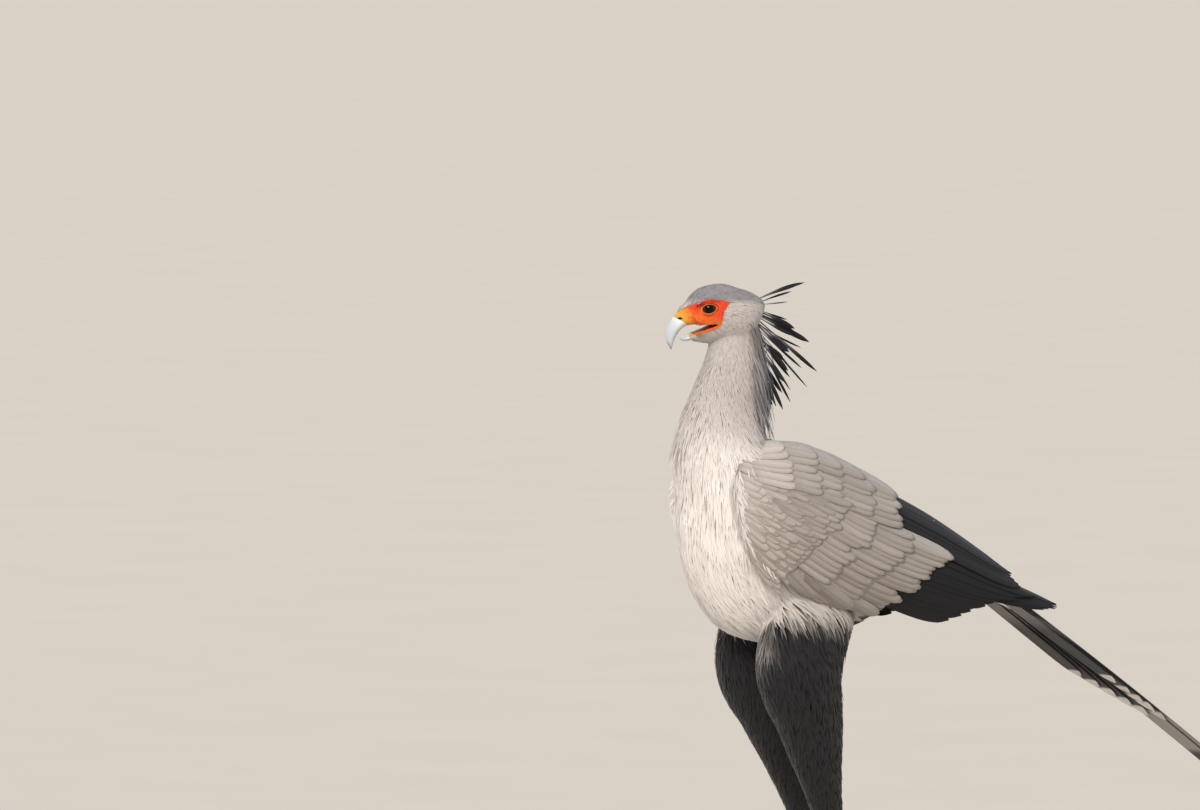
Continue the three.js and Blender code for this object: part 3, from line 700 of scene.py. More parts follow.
def face_folds(thing):
    """Fine folds that ring the eye on the bare skin, and a groove before the cere."""
    mesh = thing.data
    places, ways = rows_of(mesh.vertices, "co"), rows_of(mesh.vertices, "normal")
    forward, up = head_axes(*drawn(places))[:2]
    bare = bare_face(forward, up) * rise(up, -60.0, -55.0)
    out = np.sqrt((forward / 12.5) ** 2 + (up / 9.0) ** 2)
    rings = np.cos((out - 1.3) * 16) * rise(out, 1.05, 1.2) * drop(out, 1.9, 2.6) * 0.13
    creases = np.sin(forward * 1.1 + up * 2.3 + np.sin(up * 0.9) * 1.2) * rise(forward, 6, 14) * 0.14
    pebbles = np.sin(forward * 4.1 + np.sin(up * 3) * 1.3)
    pebbles = pebbles * np.sin(up * 4.7 + np.sin(forward * 2.6)) * 0.1
    places += ways * ((rings + creases + pebbles) * bare * drop(forward, 28, 34) * MM)[:, None]
    mesh.vertices.foreach_set("co", places.ravel())
    mesh.update()


skin = body_skin()
smoothed(skin, 6)
head_part = head_skin()
smoothed(head_part, 3)
face_folds(head_part)
combine(skin, "UNION", head_part)
skin.name = "skin"
skin.data.materials.clear()
skin.data.materials.append(SKIN)
skin.data.polygons.foreach_set("use_smooth", np.full(len(skin.data.polygons), True))
skin.data.update()
dressed(skin, "head_skin", "head", "neck", "torso", "thigh_left", "thigh_right", "cere")
print("skin has", len(skin.data.polygons), "faces")

# %% [markdown]
# The eyes.
# The eye is a ball with a slight swell over the pupil, wet and very dark. Its iris is a formula of the
# distance from the pupil's middle.

# %% Eyes
EYE_TURN = math.radians(12)  # how far each eye looks forward of straight out
CORNEA = 0.05  # how far the ball swells over the pupil, as a share of its radius


def eye_ways(side):
    """Outwards and forwards for one eye."""
    out = ASIDE * side * math.cos(EYE_TURN) + AHEAD * math.sin(EYE_TURN)
    fore = AHEAD * math.cos(EYE_TURN) - ASIDE * side * math.sin(EYE_TURN)
    return out, fore


def eye_places(finish):
    """How far forward of and above the pupil's middle a place lies, in millimetres."""
    forward, up, side = head_axes(*finish.drawn(finish.object_place()))
    out = side.sum("ABSOLUTE") - EYE_SIDE
    return forward * math.cos(EYE_TURN) - out * math.sin(EYE_TURN), up, forward


def eye_finish():
    finish = Finish("eye")
    fore, up = eye_places(finish)[:2]
    ring = (fore * fore + up * up).sum("SQRT")
    streaks = finish.noise(finish.object_place(), 900.0, 3.0)
    outwards = rise(ring + streaks * 2, 6.0, 9.0) * 0.55
    iris = finish.blend((0.022, 0.008, 0.004), (0.11, 0.042, 0.014), outwards)
    pupil, rim = (0.002, 0.0015, 0.0015), (0.006, 0.004, 0.003)
    colour = finish.layers(pupil, (iris, rise(ring, 5.2, 5.7)), (rim, rise(ring, 8.2, 8.9)))
    return finish.surface(None, Base_Color=colour, Roughness=0.06, Specular_IOR_Level=0.12,
                          Coat_Weight=0.12, Coat_Roughness=0.03)


EYE = eye_finish()
for name, side in SIDES:
    bm = bmesh.new()
    bmesh.ops.create_uvsphere(bm, u_segments=48, v_segments=32, radius=EYE_RADIUS)
    out, fore = eye_ways(side)
    for vert in bm.verts:
        from_pupil = math.acos(max(-1, min(1, vert.co.z / EYE_RADIUS)))
        local = vert.co * (1 + CORNEA * math.exp(-(from_pupil / 0.6) ** 2))
        vert.co = Vector(on_head(0, 0, side * EYE_SIDE) + fore * local.x + UP * local.y + out * local.z)
    dressed(finished("eyeball_" + name, bm, EYE), "eye", "eye_" + name)

# %% [markdown]
# The lids.
# A rim of bright skin hugs the eyeball, then comes a groove and a second fold that sinks into the face.
# Lids cut out of the face would be too thin, so each is a set of rings round the almond opening, with their
# size, their height, and how much they follow the skin and not the ball.

# %% Lids
LID_HALF = (9.5, 6.0)
LID_TILT = math.radians(7)  # the front corner lies lower
LID_STEPS = 64
LID_REACH = 1.62  # the ring where the skin's height is read, against the opening
ABOVE = 30  # where the reading starts, in millimetres out from the eye's middle
LID_RINGS = [  # size, height, and how much it follows the skin
    (0.88, -0.7, 0.0), (0.95, 0.3, 0.0), (1.02, 0.75, 0.0), (1.10, 0.7, 0.05), (1.18, 0.2, 0.2),
    (1.26, 0.05, 0.45), (1.36, 0.5, 0.7), (1.46, 0.7, 0.9), (1.58, 0.2, 1.0), (1.70, -1.0, 1.0),
    (1.3, -3.2, 0.5),
]


def tree_of(*things):
    """One search tree over several pieces."""
    corners, faces = [], []
    for thing in things:
        start = len(corners)
        corners += [vert.co.copy() for vert in thing.data.vertices]
        faces += [[start + i for i in face.vertices] for face in thing.data.polygons]
    return BVHTree.FromPolygons(corners, faces)


def skin_height(a, b, middle, fore, out):
    """How far the skin stands out round the eye."""
    face = []
    for x, y in zip(a * LID_REACH, b * LID_REACH):
        start = middle + fore * x + UP * y + out * ABOVE
        hit = surface.ray_cast(Vector(start * MM + SHIFT), Vector(-out))
        face.append(ABOVE - hit[3] / MM if hit[0] else EYE_RADIUS * 0.6)
    face = np.array(face)
    return (face + np.roll(face, 1) + np.roll(face, -1) + np.roll(face, 2) + np.roll(face, -2)) / 5


def lid(side):
    out, fore = eye_ways(side)
    middle = on_head(0, 0, side * EYE_SIDE)
    turns = np.linspace(0, 2 * np.pi, LID_STEPS, endpoint=False)
    across = LID_HALF[0] * np.cos(turns)
    high = LID_HALF[1] * np.sin(turns) * (1 - 0.12 * np.cos(turns) ** 2)
    high = np.minimum(high, high * 0.84 + 0.4)  # the upper lid is the flatter one
    a = across * math.cos(LID_TILT) + high * math.sin(LID_TILT)
    b = high * math.cos(LID_TILT) - across * math.sin(LID_TILT)
    face = skin_height(a, b, middle, fore, out)
    bm = bmesh.new()
    loops = []
    for size, lift, share in LID_RINGS:
        ball_height = np.sqrt(np.maximum(EYE_RADIUS ** 2 - (a * size) ** 2 - (b * size) ** 2, 2.0))
        height = mix(ball_height, face, share) + lift
        if share > 0 and lift > -0.9:
            height = np.maximum(height, ball_height * 1.02 + 0.25)
        made = bmesh.ops.create_circle(bm, cap_ends=False, segments=LID_STEPS, radius=1.0)
        places = middle + outer(a * size, fore) + outer(b * size, UP)
        places += outer(height, out)
        for vert, place in zip(made["verts"], places):
            vert.co = Vector(place)
        loops.append(list({edge for vert in made["verts"] for edge in vert.link_edges}))
    for here, there in zip(loops, loops[1:] + loops[:1]):
        bmesh.ops.bridge_loops(bm, edges=here + there)
    return bm


def lid_finish():
    finish = Finish("lid skin")
    fore, up, forward = eye_places(finish)
    where = finish.object_place()
    a = fore * math.cos(LID_TILT) - up * math.sin(LID_TILT)
    b = up * math.cos(LID_TILT) + fore * math.sin(LID_TILT)
    a, b = a * (1 / LID_HALF[0]), b * (1 / LID_HALF[1])
    ring = (a * a + b * b).sum("SQRT")
    paint, mottle = face_paint(finish, forward, up, where)
    edge = finish.blend((0.96, 0.30, 0.015), (0.80, 0.12, 0.006), rise(up, 2.0, 7.0))
    paint = finish.blend(edge, paint, rise(ring, 1.13, 1.2))
    # painted shade: the groove between the rim and the outer fold is darkened by up to half
    groove = 1 - rise(ring, 1.14, 1.22) * drop(ring, 1.26, 1.36) * 0.5
    # painted shade: the lid is painted nearly black where it tucks in against the eyeball
    tuck_shade = drop(ring, 0.93, 1.0)
    colour = finish.blend(finish.scaled(paint, groove * (0.8 + mottle * 0.35)), (0.05, 0.01, 0.005), tuck_shade)
    grain = finish.noise(where, 1500.0, 4.0)
    return finish.surface((grain, 0.0003), Base_Color=colour, Roughness=0.42, Specular_IOR_Level=0.45)


surface = tree_of(skin)
LID = lid_finish()
for name, side in SIDES:
    dressed(finished("eyelids_" + name, lid(side), LID), "head_skin")
print("eyes and lids made, with", len(LID_RINGS), "rings to a lid")

# %% [markdown]
# The horn of the bill.
# The upper half is the front of the hooked tube, a little thinner than the cere so that the waxy skin laps
# over it. The lower half is a shallow trough that closes under the hook.

# %% Bill
LOWER_LINE = [(2, -33), (15, -36), (26, -38.8), (33.5, -40)]
lower_wide = track([(0, 15), (0.5, 11), (0.8, 8.4), (1, 3)])
lower_deep = track([(0, 6), (0.5, 4.6), (0.8, 3.4), (1, 1.2)])


def horn_finish():
    finish = Finish("horn")
    where = finish.object_place()
    forward, up = head_axes(*finish.drawn(where))[:2]
    reach = forward * CERE_WAY[0] + up * CERE_WAY[1]
    cloud = finish.noise(where, 120.0, 3.0)
    colour = finish.layers((0.74, 0.76, 0.78), ((0.56, 0.60, 0.645), rise(reach + cloud * 16, 38.0, 58.0)),
                           ((0.16, 0.165, 0.18), rise(reach + cloud * 8, 66.0, 76.0)))
    stretched = finish.node("Mapping", None, {"Vector": where, "Scale": (1.0, 1.0, 0.2)})
    lines = finish.noise(stretched, 900.0, 3.0)
    return finish.surface((lines, 0.00012), Base_Color=colour, Roughness=0.3 + cloud * 0.12,
                          Coat_Weight=0.25, Coat_Roughness=0.2)


HORN = horn_finish()
bm = bmesh.new()
bill_tube(bm, 40, 72, -0.3)
cut_bill(bm, CERE_EDGE - 1.2, keep_front=True)
upper_bill = finished("upper_horn", bm, HORN)
bm = bmesh.new()
share = mix(0.42, 1.0, np.linspace(0, 1, 25))  # the rear of the line lies inside the head
line = path([on_head(f, u) for f, u in LOWER_LINE])(share)
ring_tube(bm, line, outer(lower_wide(share), ASIDE), outer(lower_deep(share), UP), 28)
lower_bill = finished("lower_horn", bm, HORN)
tools = bmesh.new()
wedge(tools, MOUTH, WEDGE_HALF)
combine(lower_bill, "DIFFERENCE", finished("mouth", tools))
for piece, node in ((upper_bill, "bill_upper"), (lower_bill, "bill_lower")):
    dressed(piece, "horn", node)
    print(piece.name, "has", len(piece.data.polygons), "faces")

# %% [markdown]
# One feather, many times.
# A feather is a flat grid, thickened to a closed sheet, with its middle column raised as the shaft. It is
# made once by operators; arrays then bend a copy of it along each feather's own line.

# %% Feather shapes
def as_arrays(bm):
    """The corners and triangles of a closed shape."""
    bmesh.ops.triangulate(bm, faces=bm.faces[:])
    corners = np.array([vert.co for vert in bm.verts])
    faces = np.array([[vert.index for vert in face.verts] for face in bm.faces])
    bm.free()
    return corners, faces


def vane_shape(columns, rows):
    """Corners (across, along, thick) and triangles of a closed flat feather."""
    bm = bmesh.new()
    bmesh.ops.create_grid(bm, x_segments=columns, y_segments=rows, size=1.0)
    bmesh.ops.solidify(bm, geom=bm.faces[:], thickness=1.0)
    bmesh.ops.recalc_face_normals(bm, faces=bm.faces[:])
    corners, faces = as_arrays(bm)
    along = 1 - (1 - (corners[:, 1] + 1) / 2) ** 1.5  # closer rows round the tip
    return np.stack([corners[:, 0], along, corners[:, 2] + 0.5], -1), faces


def blade_shape(cuts):
    """The same for a slender three-sided blade, whose third side is its raised back."""
    bm = bmesh.new()
    bmesh.ops.create_cone(bm, cap_ends=True, segments=3, radius1=1.0, radius2=1.0, depth=1.0)
    long = [edge for edge in bm.edges if abs(edge.verts[0].co.z - edge.verts[1].co.z) > 0.5]
    bmesh.ops.subdivide_edges(bm, edges=long, cuts=cuts)
    corners, faces = as_arrays(bm)
    return np.stack([corners[:, 0] / 0.866, corners[:, 2] + 0.5, corners[:, 1]], -1), faces


WIDE_VANE = vane_shape(8, 18)
SMALL_VANE = vane_shape(2, 7)
SHAFT = 0.35  # how far the shaft stands up, in millimetres
PATCH = 0.003  # the size of a small feather on the skin's unwrap
print("a wide vane has", len(WIDE_VANE[1]), "triangles, a small one", len(SMALL_VANE[1]))


# %% Many feathers as one piece
def joined(name, places, shape, material, slot, replaced=(), chart=None, mirrored=False, soft=None,
           **marks):
    """Many copies of one shape as one piece. Places are (copies, corners, 3) in the drawing's millimetres.
    Soft gives the ways that the corners are lit from, so that small feathers shade like one smooth coat."""
    corners, faces = shape
    copies, size = places.shape[:2]
    faces = faces[:, ::-1] if mirrored else faces
    triangles = (faces[None] + size * np.arange(copies)[:, None, None]).reshape(-1, 3)
    mesh = bpy.data.meshes.new(name)
    mesh.vertices.add(copies * size)
    mesh.vertices.foreach_set("co", (places.reshape(-1, 3) * MM + SHIFT).ravel())
    mesh.loops.add(triangles.size)
    mesh.loops.foreach_set("vertex_index", triangles.ravel().astype(np.int32))
    mesh.polygons.add(len(triangles))
    mesh.polygons.foreach_set("loop_start", np.arange(0, triangles.size, 3, dtype=np.int32))
    mesh.polygons.foreach_set("use_smooth", np.full(len(triangles), True))
    marks = {"along": corners[:, 1][None], "across": corners[:, 0][None], **marks}
    for mark, values in marks.items():
        if values.ndim == 3:
            vectors = np.broadcast_to(values, (copies, size, 3)) * MM + SHIFT
            mesh.attributes.new(mark, "FLOAT_VECTOR", "POINT").data.foreach_set("vector", vectors.ravel())
        else:
            levels = np.broadcast_to(values, (copies, size)).astype(np.float32)
            mesh.attributes.new(mark, "FLOAT", "POINT").data.foreach_set("value", levels.ravel())
    if chart is None:
        cells = math.ceil(math.sqrt(copies))
        corner = np.stack([np.arange(copies) % cells, np.arange(copies) // cells], -1) / cells
        patch = np.stack([corners[:, 0] * 0.5 + 0.5, corners[:, 1]], -1) * 0.9 / cells
    else:
        corner = chart
        patch = np.stack([corners[:, 0] * 0.5, corners[:, 1]], -1) * PATCH
    spots = (corner[:, None, :] + patch[None]).reshape(-1, 2)
    mesh.uv_layers.new(name="OFBake").data.foreach_set("uv", spots[triangles.ravel()].ravel())
    mesh.update(calc_edges=True)
    if soft is not None:
        under = (corners[faces][:, :, 2] < 0).all(1)
        ways = soft[:, faces] * np.where(under, -1.0, 1.0)[None, :, None, None]
        mesh.normals_split_custom_set(ways.reshape(-1, 3))
    mesh.materials.append(material)
    dressed(placed(name, mesh), slot, *replaced)
    print(name, copies, "feathers,", len(triangles), "triangles")


# %% A feather's finish
def feather_finish(name, colour_of, long, half, sheen=0.12):
    """A feather with its fine barbs, which slant from the shaft to the edge."""
    finish = Finish(name)
    along = finish.attribute("along")
    across = finish.attribute("across")
    draw = finish.attribute("draw")
    edge = across.sum("ABSOLUTE")
    slant = along * long - edge * half * 0.9
    place = finish.node("CombineXYZ", None, {0: slant * 0.9, 1: across * 1.5, 2: draw * 60})
    streaks = finish.noise(place, 1.0, 3.0) - 0.5
    barbs = ((slant + draw * 3) * 5.0).sum("SINE")
    shaft = drop(edge, 0.02, 0.1)
    shade = 1.0 + streaks * 0.36 + barbs * 0.05 + (draw - 0.5) * 0.2 - shaft * 0.22
    colour = finish.scaled(colour_of(finish, along, edge, draw), shade)
    return finish.surface((barbs * 0.5 + shaft + streaks, 0.00012), Base_Color=colour,
                          Roughness=0.62 - shaft * 0.15, Sheen_Weight=sheen, Specular_IOR_Level=0.25)


# %% [markdown]
# The folded wings.
# Each wing is a sheet through three rails from the shoulder to the tip. Rows of feathers lie on it like
# shingles: small coverts at the shoulder, longer ones behind, scapulars over the back, then the black
# flight feathers. Rows nearer the shoulder lie higher. Both ends of a row are given and the rest
# are spread between them, which keeps the rows as tidy as a bird does.

# %% The wing's sheet
RAILS = [path(spots) for spots in (
    [(50, 6, 906), (38, 100, 905), (28, 200, 869), (18, 310, 819), (11, 420, 755), (14, 505, 706)],
    [(84, -20, 842), (110, 76, 808), (106, 190, 772), (82, 310, 742), (61, 410, 714), (42, 508, 688)],
    [(78, 8, 752), (94, 90, 712), (90, 180, 690), (80, 290, 674), (70, 395, 670), (56, 496, 672)],
)]
WING_LONG = 500
WING_THICK = 0.4  # one feather, in millimetres


def wing_point(along, down):
    """A place on the sheet, from the shoulder back and from the back down, both as shares."""
    d = np.asarray(down)[..., None]
    top, middle, lower = [rail(along) for rail in RAILS]
    return top * (1 - d) * (1 - 2 * d) + middle * 4 * d * (1 - d) + lower * d * (2 * d - 1)


def wing_normal(along, down):
    step = 0.01
    a, b = np.clip(along, step, 1 - step), np.clip(down, step, 1 - step)
    back = wing_point(a + step, b) - wing_point(a - step, b)
    fall = wing_point(a, b + step) - wing_point(a, b - step)
    return unit(np.cross(fall, back))


def wing_height(along):
    return 2 * np.linalg.norm(wing_point(along, along * 0) - wing_point(along, along * 0 + 0.5), axis=-1)


print("the wing's sheet is", round(float(wing_height(np.array(0.3)))), "mm high at the shoulder")


# %% Feathers on the sheet
ROOT_SUNK = 4.0  # how far a feather's root dips under the row before it, in millimetres


def wing_vanes(roots, tips, half, lift, outline, shape, tilt=1.3, cup=0.8):
    """Feathers on the wing's sheet from (along, down) roots to tips, as places of every corner."""
    across, along, thick = shape[0].T
    width = outline(along)
    run = tips - roots
    a = roots[:, :1] + run[:, :1] * along
    d = roots[:, 1:] + run[:, 1:] * along
    high = wing_height(a)
    long = np.hypot(run[:, :1] * WING_LONG, run[:, 1:] * high)
    reach = across * half[:, None] * width
    a = a - reach * run[:, 1:] * high / long / WING_LONG
    d = d + reach * run[:, :1] * WING_LONG / long / high
    shaft = np.exp(-(across / 0.14) ** 2) * SHAFT * (1 - along) * (thick > 0)
    level = lift[:, None] - ROOT_SUNK * (1 - np.minimum(1, along / 0.3)) ** 2 + across * width * tilt
    level = level + cup * (1 - across ** 2) + thick * WING_THICK + shaft
    return wing_point(a, d) + wing_normal(a, d) * level[..., None]


# %% Rows of wing feathers
SHORT = track([(0, 0.5), (0.3, 0.95), (0.7, 1.0), (0.93, 0.74), (1, 0.22)])
LONG = track([(0, 0.5), (0.35, 0.95), (0.75, 0.98), (0.93, 0.66), (1, 0.1)])
SHOULDER = ([(0.0, 0.08), (0.0, 0.92)], [(0.075, 0.11), (0.045, 1.02)])
MEDIAN = ([(0.23, 0.22), (0.05, 0.66)], [(0.40, 0.31), (0.25, 0.86)])
LESSER_ROWS = 12
dice = np.random.default_rng(11)  # every later cell draws from it in turn


JITTER = 0.008  # how far a tip strays, as a share of the wing


def row(roots, tips, count, half, lift):
    """One row of feathers between its first and its last one."""
    share = np.linspace(0, 1, count)[:, None]
    start = mix(np.array(roots[0]), np.array(roots[1]), share) + dice.normal(0, JITTER * 0.5, (count, 2))
    end = mix(np.array(tips[0]), np.array(tips[1]), share) + dice.normal(0, JITTER, (count, 2))
    return start, end, half * dice.uniform(0.88, 1.12, count), lift + dice.normal(0, 0.25, count)


def stacked(rows):
    return [np.concatenate(part) for part in zip(*rows)]


def covert_rows():
    rows = []
    for k in range(LESSER_ROWS):
        share = k / LESSER_ROWS
        roots, tips = mix(np.array(SHOULDER), np.array(MEDIAN), share)
        way = tips - roots
        ends = roots + way * mix(0.06, 0.12, share) / way[:, :1]
        rows.append(row(roots, ends, 16, mix(9.5, 11.5, share), mix(3.4, 1.0, share)))
    rows += [
        row(*MEDIAN, 13, 12.5, 0.0),
        row([(0.29, 0.25), (0.10, 0.72)], [(0.50, 0.34), (0.34, 0.92)], 13, 12.5, -1.8),
        row([(0.34, 0.3), (0.14, 0.76)], [(0.61, 0.38), (0.43, 0.96)], 13, 13, -3.8),
        row([(0.02, 0.76), (0.16, 0.84)], [(0.13, 0.97), (0.34, 1.0)], 8, 11.5, 0.2),
        row([(0.04, 0.8), (0.2, 0.86)], [(0.2, 1.0), (0.42, 1.0)], 8, 12, -1.4),
    ]
    for k in range(5):
        share = k / 4
        roots = [(mix(0.0, 0.2, share), 0.02), (mix(0.02, 0.22, share), 0.24)]
        tips = [(mix(0.16, 0.5, share), 0.03), (mix(0.17, 0.47, share), 0.27)]
        rows.append(row(roots, tips, 6, mix(11, 15, share), mix(4.2, 0.4, share)))
    return stacked(rows)


def flight_rows():
    return stacked([
        row([(0.36, 0.05), (0.4, 0.28)], [(0.82, 0.12), (0.86, 0.38)], 6, 15, -6.2),
        row([(0.44, 0.38), (0.3, 0.82)], [(0.9, 0.46), (0.64, 1.0)], 12, 12.5, -7.6),
        row([(0.5, 0.38), (0.48, 0.58)], [(1.0, 0.34), (0.95, 0.7)], 9, 10, -11.2),
    ])


# %% Wings
core_level = track([(0, 1), (0.31, 0.6), (0.42, -4.5), (0.55, -9), (0.72, -13.5), (1, -19), (1.2, -22)])
core_thick = track([(0, 10), (0.2, 18), (0.45, 12), (0.66, 3)])
CORE_END = 0.66
CORE_HALF = 0.47  # half the slab's height, as a share of the sheet's
CORE_NOSE = 3.7  # how fast the rounded front grows to full height
SLAB = vane_shape(16, 28)


def wing_core():
    """The flesh and down of the folded wing: a closed slab under the feathers."""
    across, along, thick = SLAB[0].T
    a = CORE_END * along
    half = CORE_HALF * np.sqrt(1 - (1 - np.minimum(1, along * CORE_NOSE + 0.2)) ** 2)
    d = 0.5 + across * half
    swell = np.cos(across * np.pi / 2)
    level = core_level(a + d / 2) - 1.2
    level = level - (thick < 0) * (1.5 + core_thick(a) * swell)
    return (wing_point(a, d) + wing_normal(a, d) * level[:, None])[None]


def covert_colour(finish, along, edge, draw):
    rim = most(rise(along, 0.9, 1.0), rise(edge, 0.8, 1.0) * 0.7)
    grey = finish.layers(
        (0.31, 0.272, 0.246),
        ((0.41, 0.362, 0.326), rise(along, 0.2, 0.9)),
        ((0.47, 0.42, 0.38), rim * 0.6),
        ((0.62, 0.56, 0.51), finish.attribute("pale")),
        (BLACK, finish.attribute("dark")),
    )
    return finish.scaled(grey, 0.74 + rise(along, 0.05, 0.4) * 0.26)


def flight_colour(finish, along, edge, draw):
    return finish.blend((0.011, 0.0105, 0.012), (0.03, 0.027, 0.026), rise(edge, 0.86, 1.0) * 0.6)


# %% Both wings
COVERTS = feather_finish("wing coverts", covert_colour, 45, 11)
FLIGHT = feather_finish("flight feathers", flight_colour, 220, 13, sheen=0.0)
coverts, flights = covert_rows(), flight_rows()
for name, side in SIDES:
    flip = np.array((side, 1, 1))
    for label, rows, outline, shape, finish, flat, charted in (
        ("coverts_", coverts, SHORT, SMALL_VANE, COVERTS, {"tilt": 1.0, "cup": 0.35}, True),
        ("flight_feathers_", flights, LONG, WIDE_VANE, FLIGHT, {}, False),
    ):
        roots = rows[0]
        places = wing_vanes(*rows, outline, shape, **flat) * flip
        draws = dice.uniform(0, 1, (len(roots), 1))
        joined(label + name, places, shape, finish, "wing_feathers", mirrored=side < 0, draw=draws,
               chart=np.clip(roots, 0.0, 0.99) if charted else None,
               pale=drop(roots[:, :1] + draws * 0.03, 0.0, 0.11) * 0.9)
    joined("wing_base_" + name, wing_core() * flip, SLAB, COVERTS, "wing_feathers", ("wing_" + name,),
           mirrored=side < 0, draw=np.full((1, 1), 0.3), pale=np.zeros((1, 1)),
           dark=rise(SLAB[0][None, :, 1], 0.5, 0.75))

# %% [markdown]
# The tail.
# Twelve feathers lie in a stack that closes like a fan. The middle pair is by far the longest, grey with a
# dark band and a white tip; the others end sooner, dark with white tips.

# %% Tail feathers
TAIL_PAIRS = 6
TAIL_STEP = 1.25  # from one feather of the stack to the next, in millimetres
TAIL_SAG = 16
tail_length = track([(0, 593), (1, 400), (2, 375), (3, 350), (4, 322), (5, 292)])
TAIL_OUTLINE = track([(0, 0.5), (0.3, 0.9), (0.8, 0.98), (0.95, 0.7), (1, 0.12)])
TAIL_VANE = vane_shape(8, 30)


def tail_places(shape):
    across, along, thick = shape[0].T
    number = np.arange(2 * TAIL_PAIRS)[:, None]
    pair, side = number // 2, np.where(number % 2, -1, 1)
    turn = side * np.radians(0.4 + 0.7 * pair)
    long = tail_length(pair.astype(float)) - (number % 2) * 9
    half = np.where(pair == 0, 21.0, 19.0)
    reach = long * along
    lift = 5 - TAIL_STEP * number - TAIL_SAG * (reach / tail_length(0.0)) ** 2
    lift = lift + (1 - across ** 2) * 0.7 + thick * WING_THICK
    lift = lift + np.exp(-(across / 0.1) ** 2) * SHAFT * (thick > 0)
    sideways = side * (5 + 2.4 * pair) + reach * np.sin(turn) + across * half * TAIL_OUTLINE(along)
    return along_tail(45 + reach, sideways, lift)


def tail_colour(finish, along, edge, draw):
    middle = finish.attribute("middle")
    ragged = along + (draw - 0.5) * 0.02
    band = (0.02, 0.019, 0.021)
    long = finish.layers((0.36, 0.335, 0.32), (band, rise(ragged, 0.80, 0.83)),
                         ((0.80, 0.77, 0.73), rise(ragged, 0.945, 0.96)))
    return finish.layers((0.20, 0.185, 0.18), (band, rise(ragged, 0.42, 0.6)),
                         ((0.78, 0.75, 0.71), rise(ragged, 0.93, 0.95)), (long, middle))


TAIL = feather_finish("tail feathers", tail_colour, 400, 19)
is_middle = (np.arange(2 * TAIL_PAIRS) < 2).astype(float)[:, None]
joined("tail_feathers", tail_places(TAIL_VANE), TAIL_VANE, TAIL, "tail_feathers", ("tail",),
       draw=dice.uniform(0, 1, (2 * TAIL_PAIRS, 1)), middle=is_middle)

# %% [markdown]
# The crest.
# Long lance feathers stand off the nape, narrow at the root and widest past the middle. The upper ones rise
# and the lower ones hang. Each row gives the root and the tip, forward of and above the eyes, the half
# width, and how far it lies to the left of the middle.

# %% Crest
CREST = [
    (-62, 9, -123, 31, 1.8, 5), (-60, 6, -132, 32, 2.4, -4), (-62, 2, -118, 20, 1.4, -12),
    (-62, -2, -115, -27, 3.0, 8), (-64, -4, -119, -31, 2.6, -7), (-64, -6, -136, -45, 3.6, 3),
    (-62, -10, -144, -83, 2.6, 9), (-66, -20, -106, -57, 4.0, 12), (-64, -14, -128, -62, 2.0, -11),
    (-66, -26, -135, -104, 1.5, -3), (-66, -32, -106, -82, 3.2, 8), (-66, -36, -116, -92, 2.4, -13),
    (-66, -42, -110, -123, 1.7, 6), (-66, -48, -104, -112, 3.0, -8), (-66, -50, -98, -132, 2.6, 12),
    (-64, -54, -92, -128, 3.8, 2), (-66, -38, -112, -108, 1.4, 0), (-62, -8, -112, -36, 2.2, 16),
    (-64, -24, -122, -78, 1.6, 14), (-64, -30, -114, -74, 2.4, -17), (-63, 0, -108, -16, 1.2, 0),
    (-63, -16, -124, -52, 1.3, 6), (-65, -44, -99, -96, 3.4, 15), (-64, -58, -84, -126, 4.2, 9),
    (-62, -62, -80, -118, 4.4, -6), (-65, -34, -101, -66, 3.6, 5), (-63, 4, -104, 8, 1.0, 9),
]
LANCE = track([(0, 0.34), (0.35, 0.42), (0.68, 1), (0.88, 0.8), (1, 0.06)])
CREST_VANE = vane_shape(6, 16)


def crest_places(shape):
    across, along, thick = shape[0].T
    root_f, root_u, tip_f, tip_u, half, side = np.array(CREST).T
    starts, ends = on_head(root_f, root_u, side * 0.5), on_head(tip_f, tip_u, side * 1.9)
    half = half[:, None]
    way = unit(ends - starts)
    roll = dice.uniform(-0.5, 1.0, len(CREST))[:, None]
    flat = unit(np.cross(way, ASIDE))
    edge = ASIDE * np.sin(roll) + flat * np.cos(roll)
    up = unit(np.cross(edge, way))
    line = starts[:, None] + (ends - starts)[:, None] * along[:, None]
    long = np.linalg.norm(ends - starts, axis=1)[:, None]
    sag = dice.uniform(-0.02, 0.07, len(CREST))[:, None] * long
    line = line + UP * (sag * (along ** 2 - along))[..., None]
    bend = dice.normal(0, 0.05, len(CREST))[:, None] * long
    reach = across * half * LANCE(along) + bend * np.sin(along * np.pi) * 0.4
    level = thick * WING_THICK + (1 - across ** 2) * half * 0.16
    level = level + np.exp(-(across / 0.2) ** 2) * 0.2 * (thick > 0)
    return line + edge[:, None] * reach[..., None] + up[:, None] * level[..., None]


def crest_colour(finish, along, edge, draw):
    dark = rise(along + (draw - 0.5) * 0.3, 0.28, 0.6)
    return finish.blend((0.16, 0.15, 0.17), (0.009, 0.0085, 0.011), dark)


CREST_BLACK = feather_finish("crest feathers", crest_colour, 100, 5, sheen=0.04)
joined("crest", crest_places(CREST_VANE), CREST_VANE, CREST_BLACK, "head_skin",
       draw=dice.uniform(0, 1, (len(CREST), 1)))

# %% [markdown]
# How the small feathers lie.
# Every small feather needs a way to point, a length, a width and a depth. They are written down at a few
# places on the body and the head, and anywhere else they are a blend of the nearest ones.

